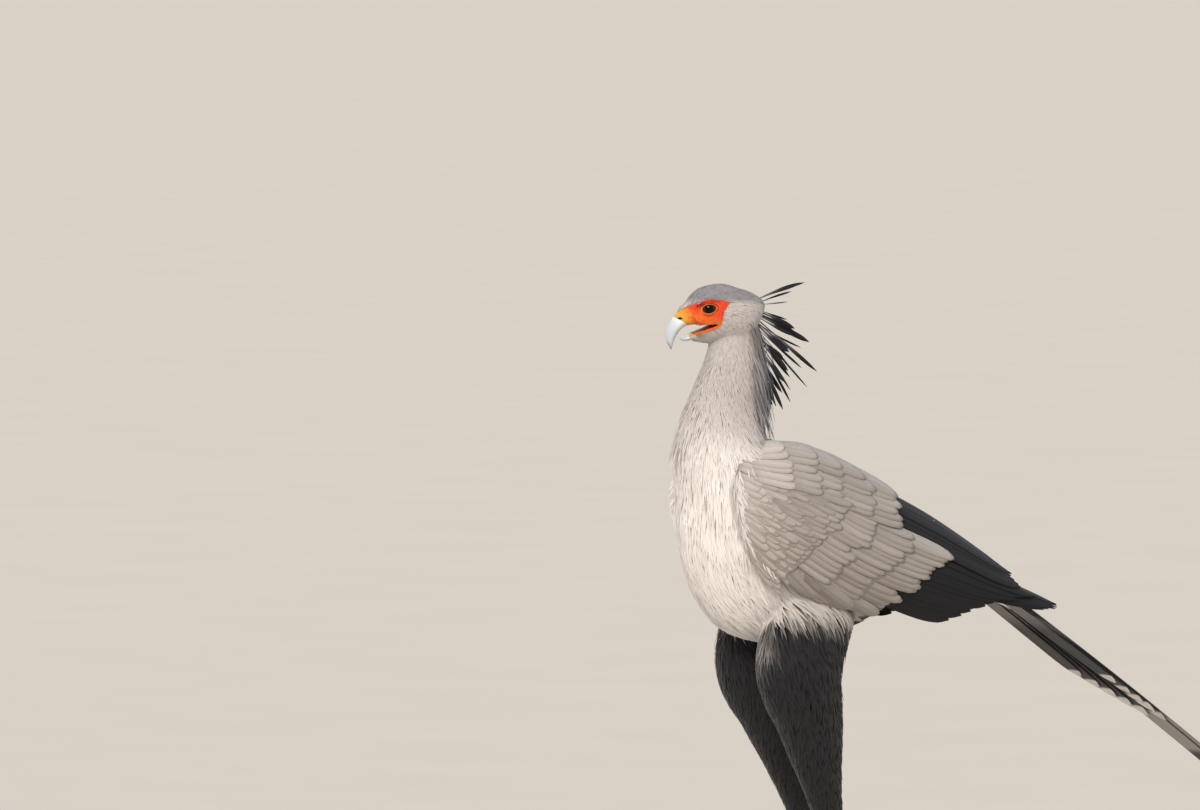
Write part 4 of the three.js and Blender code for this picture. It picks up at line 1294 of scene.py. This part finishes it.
# %% Lie, length and width
# Each row: a place, the way to point, then length, half width and depth of the coat
BODY_LIE = [
    ((0, -18, 1010), (0, -0.05, -1), 15, 0.8, 3.0), ((38, 22, 1010), (0, 0.12, -1), 16, 0.85, 3.5),
    ((0, 66, 1010), (0, 0.25, -1), 30, 1.2, 6.0), ((0, -52, 930), (0, -0.1, -1), 25, 0.95, 4.5),
    ((52, 4, 930), (0, 0.16, -1), 25, 1.0, 4.5), ((0, 62, 930), (0, 0.5, -1), 34, 1.6, 6.0),
    ((0, -66, 850), (0, 0.02, -1), 36, 1.0, 5.5), ((0, -62, 770), (0, 0.2, -1), 42, 1.1, 6.0),
    ((75, -10, 800), (0, 0.2, -1), 42, 1.2, 6.0), ((0, 100, 900), (0, 1, -0.2), 36, 4.6, 8.0),
    ((0, 230, 850), (0, 1, -0.4), 38, 5.4, 8.0), ((0, -15, 670), (0, 0.8, -0.7), 38, 1.25, 7.0),
    ((0, 150, 650), (0, 1, -0.12), 38, 1.8, 8.0), ((85, 110, 720), (0, 0.7, -0.7), 40, 1.6, 7.5),
    ((0, 260, 690), (0, 1, 0.15), 38, 4.4, 7.0), ((0, 330, 800), (0, 0.83, -0.56), 44, 5.2, 5.0),
    ((30, 390, 730), (0, 0.83, -0.56), 50, 4.6, 4.0), ((85, 100, 650), (0, 0.25, -1), 30, 1.6, 5.5),
    ((90, 120, 560), (0, 0.2, -1), 26, 1.6, 5.0), ((20, 120, 560), (0, 0.2, -1), 24, 1.6, 4.5),
    ((58, 132, 480), (0, 0.12, -1), 19, 1.35, 4.0), ((56, 160, 400), (0, 0.1, -1), 14, 1.0, 3.5),
]
# The same on the head, as forward, up and side, with the way given forward and up
HEAD_LIE = [
    ((36, 0, 0), (-1, 0.6), 4.5, 0.42, 1.8), ((15, 25, 0), (-1, 0.25), 7.0, 0.52, 1.4),
    ((-20, 31, 0), (-1, -0.06), 10, 0.7, 1.6), ((-5, 20, 26), (-1, 0.02), 7.0, 0.5, 1.4),
    ((-35, 5, 33), (-1, -0.15), 10, 0.65, 1.6), ((-72, 0, 0), (-0.75, -0.7), 20, 1.0, 2.6),
    ((-70, -45, 0), (-0.3, -1), 28, 1.3, 5.5), ((-55, -40, 26), (-0.35, -1), 19, 0.9, 4.0),
    ((-25, -20, 32), (-0.85, -0.55), 9.0, 0.58, 1.6), ((0, -38, 20), (-0.75, -0.65), 7.0, 0.46, 1.4),
    ((20, -44, 0), (-0.9, -0.4), 6.0, 0.42, 1.4), ((-5, -62, 0), (-0.3, -1), 12, 0.65, 2.6),
    ((-30, -62, 30), (-0.2, -1), 14, 0.75, 3.0),
]


def lie_table():
    places, ways, sizes = [], [], []
    for (x, y, z), way, *size in BODY_LIE:
        for side in (1, -1)[: 2 if x else 1]:
            places.append((x * side, y, z))
            ways.append(np.array(way, float))
            sizes.append(size)
    for (forward, up, beside), (ahead, rising), *size in HEAD_LIE:
        for side in (1, -1)[: 2 if beside else 1]:
            places.append(on_head(forward, up, beside * side))
            ways.append(AHEAD * ahead + UP * rising)
            sizes.append(size)
    return np.array(places, float), unit(np.array(ways)), np.array(sizes)


LIE_PLACES, LIE_WAYS, LIE_SIZES = lie_table()
print("the lie is written down at", len(LIE_PLACES), "places")


def lie_at(points):
    """The way, and the length, half width and depth, of the feathers at any points."""
    apart = (points ** 2).sum(-1)[:, None] + (LIE_PLACES ** 2).sum(-1) - 2 * points @ LIE_PLACES.T
    weight = (np.maximum(apart, 0) + 60.0) ** -2.0
    weight /= weight.sum(1, keepdims=True)
    return unit(weight @ LIE_WAYS), weight @ LIE_SIZES


# %% [markdown]
# Sowing.
# Points are thrown on the skin's triangles, thicker where the feathers are small. None are kept on the bare
# face, and few where a wing covers the body.

# %% Places on the skin
LAYERS = 4.8  # how many feathers lie over any one place
BLADE_AREA = 1.4  # of a tapered blade, against its length times its half width
SWIRL = 0.1
STATIONS = 5
OVERLAP = 2.0  # how far a feather's root may lie inside the bare skin, in millimetres
FACE_BASE = 1025  # nothing below this height is bare
WING_TOP, WING_FOOT = 930, 640  # between these heights the wings may hide the body
PINIONS_START = 200  # behind this only flight feathers cover it, and no hidden ones are kept


def sown():
    mesh = skin.data
    mesh.calc_loop_triangles()
    corners = (rows_of(mesh.vertices, "co") - SHIFT) / MM
    a, b, c = np.moveaxis(corners[rows_of(mesh.loop_triangles, "vertices", np.int32)], 1, 0)
    square = np.cross(b - a, c - a)
    area = np.linalg.norm(square, axis=-1) / 2
    size = lie_at((a + b + c) / 3)[1]
    wanted = area * LAYERS / (size[:, 0] * size[:, 1] * BLADE_AREA)
    count = np.floor(wanted + dice.random(len(area))).astype(int)
    which = np.repeat(np.arange(len(count)), count)
    p, q = dice.random((2, len(which), 1))
    over = p + q > 1
    p, q = np.where(over, 1 - p, p), np.where(over, 1 - q, q)
    return a[which] + (b - a)[which] * p + (c - a)[which] * q, unit(square)[which]


def kept(roots, outs):
    """Leaves out the bare face and most of what the wings hide."""
    forward, up = head_axes(*(roots + lie_at(roots)[0] * OVERLAP).T)[:2]
    bare = bare_face(forward, up) * (roots[:, 2] > FACE_BASE)
    keep = bare < dice.uniform(0.3, 0.98, len(roots))
    wings = tree_of(*[bpy.data.objects["wing_base_" + name] for name, side in SIDES])
    body = np.flatnonzero(keep & (roots[:, 2] < WING_TOP) & (roots[:, 2] > WING_FOOT))
    starts, ways = roots[body] * MM + SHIFT, outs[body]
    covered = [wings.ray_cast(Vector(s), Vector(w), 0.05)[0] is not None for s, w in zip(starts, ways)]
    spared = (dice.random(len(body)) < 0.15) & (roots[body, 1] < PINIONS_START)
    keep[body] &= ~np.array(covered) | spared
    return roots[keep], outs[keep]


# %% Lines along the skin
def drawn_lines(roots, outs):
    """Follows the skin from each root and returns the stations, the outward ways and the sizes."""
    size = lie_at(roots)[1] * dice.uniform(0.75, 1.25, (len(roots), 1))
    yaw = dice.normal(0, 0.08, (len(roots), 1))
    x, y, z = roots.T / size.T[0]
    swirl = np.sin(x * 1.1 + z * 0.5) * np.cos(y * 1.3 - z * 0.35) + np.sin(z * 0.9 + y * 0.6 - x * 0.4)
    turn = yaw + SWIRL * swirl[:, None] * np.minimum(1, size[:, :1] / 20)
    lines, ways, runs = [roots], [outs], []
    for k in range(STATIONS):
        here, out = lines[-1], ways[-1]
        way = lie_at(here)[0]
        way = unit(way - out * (way * out).sum(-1, keepdims=True))
        way = unit(way + np.cross(out, way) * turn)
        runs.append(way)
        if k < STATIONS - 1:
            there = here + way * size[:, :1] / (STATIONS - 1)
            found = [surface.find_nearest(Vector(p))[:2] for p in there * MM + SHIFT]
            lines.append((np.array([f[0] for f in found]) - SHIFT) / MM)
            ways.append(unit(out * 0.6 + np.array([f[1] for f in found]) * 0.4))
    return np.stack(lines, 1), np.stack(ways, 1), np.stack(runs, 1), size


# %% [markdown]
# The coat.
# The breast and neck look soft because thousands of slender feathers follow the body and overlap. Hair
# curves would be quick, but they leave no solid mesh behind. So each feather is a small solid blade, bent
# along its line on the skin, and it takes the marking at its root. Its faces are lit as the skin under it
# would be, so that the blades read as one smooth coat.

# %% Small feathers from their lines
BLADE = blade_shape(STATIONS - 2)
BLADE_OUTLINE = track([(0, 0.5), (0.25, 1.0), (0.5, 0.95), (0.75, 0.64), (1, 0.06)])
BROAD_OUTLINE = track([(0, 0.5), (0.35, 1.0), (0.75, 0.9), (1, 0.2)])
LOCK = 9.0  # how far apart the locks of the breast are, in millimetres


def lock_pull(roots, runs, size):
    """How far each tip leans sideways to the middle of its lock."""
    column = np.floor(roots[:, :2] / LOCK)
    lift = np.modf(np.abs(np.sin(column @ (12.9898, 78.233))) * 437.5)[0]
    cell = np.column_stack([column, np.floor(roots[:, 2] / (LOCK * 3) + lift)]).astype(int)
    _, name, members = np.unique(cell, axis=0, return_inverse=True, return_counts=True)
    name = name.ravel()
    middle = np.stack([np.bincount(name, axis) for axis in roots.T], -1) / members[:, None]
    lean = (middle[name] - roots) * rise(size[:, :1], 12.0, 26.0) * drop(size[:, 1:2], 2.2, 3.6) * 0.6
    return lean - runs * (lean * runs).sum(-1, keepdims=True)


def coat_places(lines, ways, runs, size):
    """The corners of every small feather, and the ways that they are lit from."""
    across, along, thick = BLADE[0].T
    at = np.rint(along * (STATIONS - 1)).astype(int)
    long, half, depth = size.T[:, :, None]
    loose = dice.uniform(0.70, 0.88, (len(lines), 1))
    level = -0.6 + (depth * loose + 0.6) * (1 - (1 - along) ** 2.6) + thick * half * 0.12
    beside = unit(np.cross(ways, runs))
    reach = across * half * mix(BLADE_OUTLINE(along), BROAD_OUTLINE(along), rise(half, 2.4, 3.6))
    lean = lock_pull(lines[:, 0], runs[:, 2], size)[:, None] * (along ** 1.5)[None, :, None]
    soft = unit(ways[:, at] + beside[:, at] * (across * 0.4)[None, :, None])
    return lines[:, at] + beside[:, at] * reach[..., None] + ways[:, at] * level[..., None] + lean, soft


# %% An unwrap of the skin
def coat_chart(roots, centre, axis):
    """An unwrap round the piece's own axis: the turn about it and the way along it."""
    axis = unit(np.array(axis, float))
    first = unit(np.cross(axis, (0.31, 0.2, 0.93) if abs(axis[2]) < 0.9 else (0.0, -1.0, 0.02)))
    second = np.cross(axis, first)
    local = roots - np.array(centre, float)
    turn = np.arctan2(local @ second, local @ first) / (2 * np.pi) + 0.5
    along = local @ axis
    along = (along - along.min()) / max(np.ptp(along), 1.0)
    return np.clip(np.stack([turn, along], -1), 0.004, 0.994)


# %% The coat, piece by piece
HEAD_Z, NECK_Z, BACK_Z, THIGH_Z = 1046, 905, 765, 638  # the heights that part the pieces
HINDNECK_Y, BREAST_END, TAIL_START = 14, 45, 300  # and how far back they do
roots, outs = kept(*sown())
x, y, z = roots.T
forward, up, side = head_axes(x, y, z)
region = np.where(y < TAIL_START, np.where(z > BACK_Z, 6, 7), 8)
region = np.where(y < BREAST_END, np.where(x > 0, 4, 5), region)
region = np.where(z > NECK_Z, np.where(y < HINDNECK_Y, 2, 3), region)
region = np.where(z > HEAD_Z, np.where(side > 0, 0, 1), region)
region = np.where((z < THIGH_Z) & (y < TAIL_START), np.where(x > 0, 9, 10), region)
NECK_AXIS = (0, 14, 970), UP
COAT_PIECES = [  # name, slot, a place on the axis and the axis
    ("head_feathers_left", "head_skin", on_head(-20, -10), AHEAD),
    ("head_feathers_right", "head_skin", on_head(-20, -10), AHEAD),
    ("foreneck_feathers", "plumage", *NECK_AXIS),
    ("hindneck_feathers", "plumage", *NECK_AXIS),
    ("breast_feathers_left", "plumage", (0, 40, 770), UP),
    ("breast_feathers_right", "plumage", (0, 40, 770), UP),
    ("back_feathers", "plumage", (0, 170, 765), (0, 1, 0)),
    ("belly_feathers", "plumage", (0, 170, 765), (0, 1, 0)),
    ("tail_coverts", "tail_feathers", (0, 360, 750), (0, 0.83, -0.56)),
    ("thigh_feathers_left", "thigh_feathers", (58, 120, 500), UP),
    ("thigh_feathers_right", "thigh_feathers", (-58, 130, 500), UP),
]
for number, (name, slot, centre, axis) in enumerate(COAT_PIECES):
    mine = region == number
    places, soft = coat_places(*drawn_lines(roots[mine], outs[mine]))
    joined(name, places, BLADE, COAT, slot, chart=coat_chart(roots[mine], centre, axis), soft=soft,
           root=roots[mine][:, None], draw=dice.uniform(0, 1, (mine.sum(), 1)))

# %% [markdown]
# Free feathers and lashes.
# Some feathers hang clear of the coat: shaggy ones down the nape, a tuft at the front of the neck, and soft
# ones over the front edge of each wing, where the body's feathers meet it. Black lashes stand on each upper
# lid. All are the same slender blade, bent between two points, because they follow no surface.

# %% Blades between two points
def streamers(starts, ends, half, bow, facing):
    """Blades from starts to ends that bow out to the side they face."""
    across, along, thick = (row[None, :, None] for row in BLADE[0].T)
    way = unit(ends - starts)
    edge = unit(np.cross(facing, way))[:, None]
    out = unit(np.cross(way[:, None], edge))
    line = starts[:, None] + (ends - starts)[:, None] * along
    half, bow = np.asarray(half)[..., None, None], np.asarray(bow)[..., None, None]
    reach = edge * across * half * BLADE_OUTLINE(along)
    return line + reach + out * (thick * half * 0.12 + bow * np.sin(along * np.pi))


def free_feathers(name, slot, starts, ends, half, bow, facing, axis, draws, side=1, last_y=np.inf):
    """Blades as a piece of the coat, mirrored for side -1, marked as if rooted before last_y."""
    flip = np.array((side, 1, 1))
    places = streamers(starts, ends, half, bow, facing) * flip
    joined(name, places, BLADE, COAT, slot, chart=coat_chart(starts * flip, *axis), mirrored=side < 0,
           soft=np.broadcast_to((facing * flip)[:, None], places.shape),
           root=np.minimum(starts * flip, (np.inf, last_y, np.inf))[:, None], draw=draws)


# %% Nape and throat tuft
NAPE_COUNT = 520
TUFT_COUNT = 110
TUFT_ROOT = (-18, -48, 934)


def nape_feathers():
    x, y, z = roots.T
    near = np.flatnonzero((is_nape(y, z) > 0.4) & (z > 960) & (z < 1066))
    near = dice.choice(near, NAPE_COUNT, replace=False)
    starts, facing = roots[near], outs[near]
    long = dice.uniform(30, 62, (NAPE_COUNT, 1))
    way = np.array((0, 0.22, -1)) + dice.normal(0, 0.07, (NAPE_COUNT, 3))
    ends = starts + way * long + facing * dice.uniform(2, 9, (NAPE_COUNT, 1))
    free_feathers("nape_feathers", "plumage", starts, ends, dice.uniform(1.0, 2.2, NAPE_COUNT),
                  long[:, 0] * 0.06, facing, NECK_AXIS, dice.uniform(0, 1, (NAPE_COUNT, 1)))


def throat_tuft():
    near = np.argsort(np.linalg.norm((roots - TUFT_ROOT) / (26, 20, 20), axis=1))[:420]
    near = dice.choice(near, TUFT_COUNT, replace=False)
    starts, facing = roots[near], outs[near]
    ends = starts + (facing * (0.42, 0.42, 0) + (0, 0, -1)) * dice.uniform(22, 40, (TUFT_COUNT, 1))
    free_feathers("throat_tuft", "plumage", starts, ends, dice.uniform(0.7, 1.2, TUFT_COUNT), 2.0, facing,
                  NECK_AXIS, dice.uniform(0.4, 1, (TUFT_COUNT, 1)))


# %% Feathers over the wings' front edges
EDGE_COUNT = 620
EDGE_DEPTH = 13  # how far the wing's front edge reaches down towards the body, in millimetres
EDGE_MARK_Y = 5.0  # their markings are those of the breast's side, not of the nape


def wing_front():
    """Places on the front of the wing's slab, the ways down, back and out, and how near the top."""
    down = dice.uniform(0.08, 0.92, EDGE_COUNT)
    half = np.abs(down - 0.5) / CORE_HALF
    along = CORE_END * np.maximum(0.8 - np.sqrt(1 - half * half), 0) / CORE_NOSE + 0.002
    here = wing_point(along, down)
    fall = unit(wing_point(along, down + 0.02) - wing_point(along, down - 0.02))
    back = unit(wing_point(along + 0.02, down) - here)
    up = wing_normal(along, down)
    level = dice.uniform(-EDGE_DEPTH, 1.5, (EDGE_COUNT, 1))
    return here + up * level + back, fall, back, up, rise(level, -4.0, 1.0)


nape_feathers()
for name, side in SIDES:
    starts, fall, back, up, high = wing_front()
    facing = unit(up * high * 0.6 - back)
    way = fall * 0.8 + back * high * dice.uniform(0.3, 0.7, (EDGE_COUNT, 1)) + facing * 0.16
    ends = starts + unit(way) * dice.uniform(18, 30, (EDGE_COUNT, 1))
    # painted shade: the draws run from -0.7 to 0.5, so these feathers are darker than the coat round them
    free_feathers("wing_edge_feathers_" + name, "wing_feathers", starts, ends,
                  dice.uniform(1.3, 2.1, EDGE_COUNT), 2.2, facing, ((60 * side, 20, 800), UP),
                  dice.uniform(-0.7, 0.5, (EDGE_COUNT, 1)), side, EDGE_MARK_Y)
throat_tuft()


# %% Lashes
LASHES = 34


def lash_finish():
    finish = Finish("lashes")
    colour = finish.blend((0.006, 0.005, 0.005), (0.02, 0.015, 0.013), finish.attribute("draw"))
    return finish.surface(None, Base_Color=colour, Roughness=0.45)


LASH = lash_finish()
for name, side in SIDES:
    out, fore = eye_ways(side)
    turns = np.linspace(math.radians(22), math.radians(168), LASHES) + dice.normal(0, 0.02, LASHES)
    a, b = LID_HALF[0] * np.cos(turns), LID_HALF[1] * np.sin(turns)
    high = np.sqrt(EYE_RADIUS ** 2 - a * a - b * b) + 0.6
    starts = on_head(0, 0, side * EYE_SIDE) + outer(a, fore) + outer(b, UP) + outer(high, out)
    spread = outer(np.cos(turns) * 0.35 - 0.3, fore) + outer(np.sin(turns) * 0.45, UP)
    ends = starts + unit(spread + out * 0.8) * dice.uniform(4.5, 7.0, (LASHES, 1))
    joined("lashes_" + name, streamers(starts, ends, 0.17, 0.7, np.broadcast_to(UP, (LASHES, 3))), BLADE,
           LASH, "head_skin", draw=dice.uniform(0, 1, (LASHES, 1)))

# %% [markdown]
# The legs.
# The bare shank carries a row of broad plates in front and small scales elsewhere. The toes are knuckled
# tubes that meet in a ball, and a remesh melts them together. The claws are blunt curved cones.

# %% Shanks
PLATES = 22
PLATE_TOP = 330
PLATE_BOTTOM = 24


def shank_stations(side):
    hip, knee, calf, cuff, hock, foot = leg_stations(side).values()
    return [
        (cuff + np.array((0, -2, 16.0)), 9, 10), (hock, 12.6, 14.6),
        (mix(hock, foot, 0.12), 9.2, 11.2), (mix(hock, foot, 0.5), 8.4, 10.2),
        (mix(hock, foot, 0.88), 9, 10.2), (foot, 11.6, 10.6),
    ]


def shank_axis(side, z):
    """The middle of the shank at a height."""
    hock, foot = leg_stations(side)["hock"], leg_stations(side)["foot"]
    return mix(hock, foot, (hock[2] - z) / (hock[2] - foot[2]))


def plate_rise(x, y, z, axis):
    """How far the horny plates stand out at a place of the shank."""
    turn = np.arctan2(x - axis[0], axis[1] - y)
    step = (PLATE_TOP - z) / (PLATE_TOP - PLATE_BOTTOM) * PLATES
    front = drop(np.abs(turn), 0.75, 0.95)
    lip = step - np.floor(step)
    inside = rise(step, 0.0, 0.6) * drop(step, PLATES - 0.6, PLATES)
    return front * inside * (0.25 + 0.85 * lip * drop(lip, 0.9, 1.0))


def leg_finish():
    finish = Finish("leg skin")
    where = finish.object_place()
    x, y, z = finish.drawn(where)
    cells = finish.node("TexVoronoi", {"feature": "DISTANCE_TO_EDGE"}, {"Vector": where, "Scale": 480.0})
    cloud = finish.noise(where, 60.0, 4.0)
    plate = finish.attribute("plate")
    step = ((PLATE_TOP - z) * (PLATES / (PLATE_TOP - PLATE_BOTTOM))).sum("FRACT")
    groove = rise((step - 0.5).sum("ABSOLUTE"), 0.45, 0.49) * plate
    seam = most(drop(cells, 0.02, 0.16) * (1 - plate * 0.92), groove)
    # darker towards the floor, within 26 mm of it
    colour = finish.layers((0.42, 0.30, 0.255), ((0.56, 0.43, 0.375), cloud),
                           ((0.36, 0.30, 0.265), drop(z, 4.0, 26.0) * 0.6),
                           ((0.20, 0.14, 0.12), seam * 0.55))
    height = rise(cells, 0.0, 0.25) * (1 - plate * 0.92) + cloud * plate * 0.3
    return finish.surface((height, 0.0005), Base_Color=colour, Roughness=0.55 + cloud * 0.15)


LEG_SKIN = leg_finish()
for name, side in SIDES:
    bm = bmesh.new()
    limb(bm, shank_stations(side), 40, 260)
    plate = bm.verts.layers.float.new("plate")
    for vert in bm.verts:
        x, y, z = vert.co
        axis = shank_axis(side, z)
        out = unit(np.array((x - axis[0], y - axis[1], 0.0)))
        vert.co += Vector(out * float(plate_rise(x, y, z, axis)))
        in_front = float(drop(abs(math.atan2(out[0], -out[1])), 0.7, 0.95))
        vert[plate] = in_front * (PLATE_BOTTOM < z < PLATE_TOP)
    dressed(finished("shank_skin_" + name, bm, LEG_SKIN), "leg_skin", "shank_" + name)
print("each shank has", PLATES, "plates in front")

# %% Feet
TOES = [("inner", 30, 43), ("middle", 0, 56), ("outer", -30, 45), ("hind", 166, 25)]  # turn and length
SPLAY = 6  # how far each foot turns out, in degrees


def toe_frame(side, turn):
    """Where a foot stands, and the outward and sideways directions of one toe."""
    stand = leg_stations(side)["foot"] * np.array((1, 1, 0))
    angle = -side * math.radians(turn + SPLAY)
    way = np.array((math.sin(angle), -math.cos(angle), 0.0))
    return stand, way, np.array((-way[1], way[0], 0.0))


def foot(side):
    bm = bmesh.new()
    stand = toe_frame(side, 0)[0]
    hub = Matrix.Translation(Vector(stand + UP * 12.2)) @ Matrix.Diagonal((12.0, 12.0, 12.3, 1.0))
    bmesh.ops.create_uvsphere(bm, u_segments=32, v_segments=20, radius=1.0, matrix=hub)
    limb(bm, [(stand + UP * 6, 9, 9), (stand + UP * 16, 11.2, 10.4), (stand + UP * 24, 11.2, 10.2)], 32, 10)
    share = np.linspace(0, 1, 61)
    for name, turn, long in TOES:
        stand, way, across = toe_frame(side, turn)
        pads = 2 + round(long / 16)
        knuckle = 0.05 * np.cos(share * np.pi * 2 * (pads - 0.5))
        rings = (share * long / 3.1) % 1.0
        radius = mix(8.4, 5.2, share) * (1 + knuckle) * np.where(share > 0.97, 0.93, 1.0)
        line = stand + outer(mix(3, long - 0.5, share), way) + outer(radius - 0.2, UP)
        ring_tube(bm, line, outer(radius + rings * 0.25, across),
                  outer(radius + rings * 0.4, UP), 28)
    made = finished("foot_skin", bm, LEG_SKIN)
    melt(made, 0.0008)
    smoothed(made, 1)
    made.data.materials.clear()
    made.data.materials.append(LEG_SKIN)
    return made


# %% Claws
CLAW_LONG = 17


def claw_finish():
    finish = Finish("claw")
    where = finish.object_place()
    stretched = finish.node("Mapping", None, {"Vector": where, "Scale": (1.0, 0.15, 1.0)})
    lines = finish.noise(stretched, 700.0, 3.0)
    colour = finish.blend((0.035, 0.028, 0.025), (0.11, 0.09, 0.08), lines)
    return finish.surface((lines, 0.0002), Base_Color=colour, Roughness=0.38)


CLAW = claw_finish()
for name, side in SIDES:
    made = foot(side)
    made.name = "foot_skin_" + name
    dressed(made, "leg_skin", "foot_" + name)
    share = np.linspace(0, 1, 25)
    for toe, turn, long in TOES:
        stand, way, across = toe_frame(side, turn)
        bm = bmesh.new()
        radius = mix(3.7, 0.45, share ** 1.3)
        line = stand + outer(long - 2 + (CLAW_LONG + 2) * share, way)
        line = line + outer(6.2 - 4.3 * share ** 2, UP)
        ring_tube(bm, line, outer(radius * 0.85, across), outer(radius, UP), 20)
        dressed(finished("claw_horn_" + name + "_" + toe, bm, CLAW), "claw", "claw_" + name + "_" + toe)
print("legs and feet made")

# %% [markdown]
# The studio.
# A pale floor runs to the horizon. A broad sun shines from the front and left of the bird, a weaker one
# from behind its right fills in, and the even sky does the rest. The camera stands where the photograph was
# taken from, far enough away for a long lens.

# %% Floor and light
FLOOR_HALF = 400.0  # half the floor's side, in metres


def floor():
    bm = bmesh.new()
    bmesh.ops.create_grid(bm, x_segments=1, y_segments=1, size=FLOOR_HALF)
    mesh = bpy.data.meshes.new("floor")
    bm.to_mesh(mesh)
    bm.free()
    finish = Finish("pale floor")
    grain = finish.noise(finish.object_place(), 3.0, 4.0)
    tone = finish.blend((0.60, 0.545, 0.47), (0.64, 0.585, 0.505), grain)
    mesh.materials.append(finish.surface(None, Base_Color=tone, Roughness=0.9))
    placed("floor", mesh)


def sun(name, way, strength, softness, colour):
    lamp = bpy.data.lights.new(name, "SUN")
    lamp.energy = strength
    lamp.angle = math.radians(softness)
    lamp.color = colour
    placed(name, lamp).rotation_euler = Vector(way).to_track_quat("-Z", "Y").to_euler()


def studio():
    world = bpy.data.worlds.new("studio")
    world.use_nodes = True
    sky = world.node_tree.nodes["Background"].inputs
    sky["Color"].default_value = (0.82, 0.84, 0.88, 1.0)
    sky["Strength"].default_value = 0.66
    bpy.context.scene.world = world
    sun("key", (-0.55, 0.62, -0.62), 2.5, 22.0, (1.0, 0.95, 0.87))
    sun("fill", (0.7, -0.3, -0.4), 0.5, 60.0, (0.9, 0.94, 1.0))


# %% Camera
PHOTO_WIDTH, PHOTO_HEIGHT = 1200, 810
PIXEL = 1.3  # millimetres of the bird to one pixel of the photograph
VIEW_TURN = math.radians(60)
VIEW_TILT = math.radians(3)
CROWN_PIXEL = (718, 283)  # where the drawing's upright axis crosses the height of the crown
CROWN_Z = 1120
DISTANCE = 14.0
SENSOR = 36.0


def camera():
    across = (PHOTO_WIDTH / 2 - CROWN_PIXEL[0]) * PIXEL
    height = CROWN_Z - (PHOTO_HEIGHT / 2 - CROWN_PIXEL[1]) * PIXEL
    aim = spot(across * math.cos(VIEW_TURN), across * math.sin(VIEW_TURN), height)
    level = math.cos(VIEW_TILT)
    back = Vector((math.sin(VIEW_TURN) * level, -math.cos(VIEW_TURN) * level, math.sin(VIEW_TILT)))
    lens = bpy.data.cameras.new("camera")
    lens.sensor_width = SENSOR
    lens.lens = SENSOR * DISTANCE / (PHOTO_WIDTH * PIXEL * MM)
    lens.clip_end = 900.0
    made = placed("camera", lens)
    made.location = Vector(aim) + back * DISTANCE
    made.rotation_euler = back.to_track_quat("Z", "Y").to_euler()
    bpy.context.scene.camera = made
    print("the lens is", round(lens.lens), "mm long")


floor()
studio()
camera()
bpy.context.scene.view_settings.view_transform = "Standard"
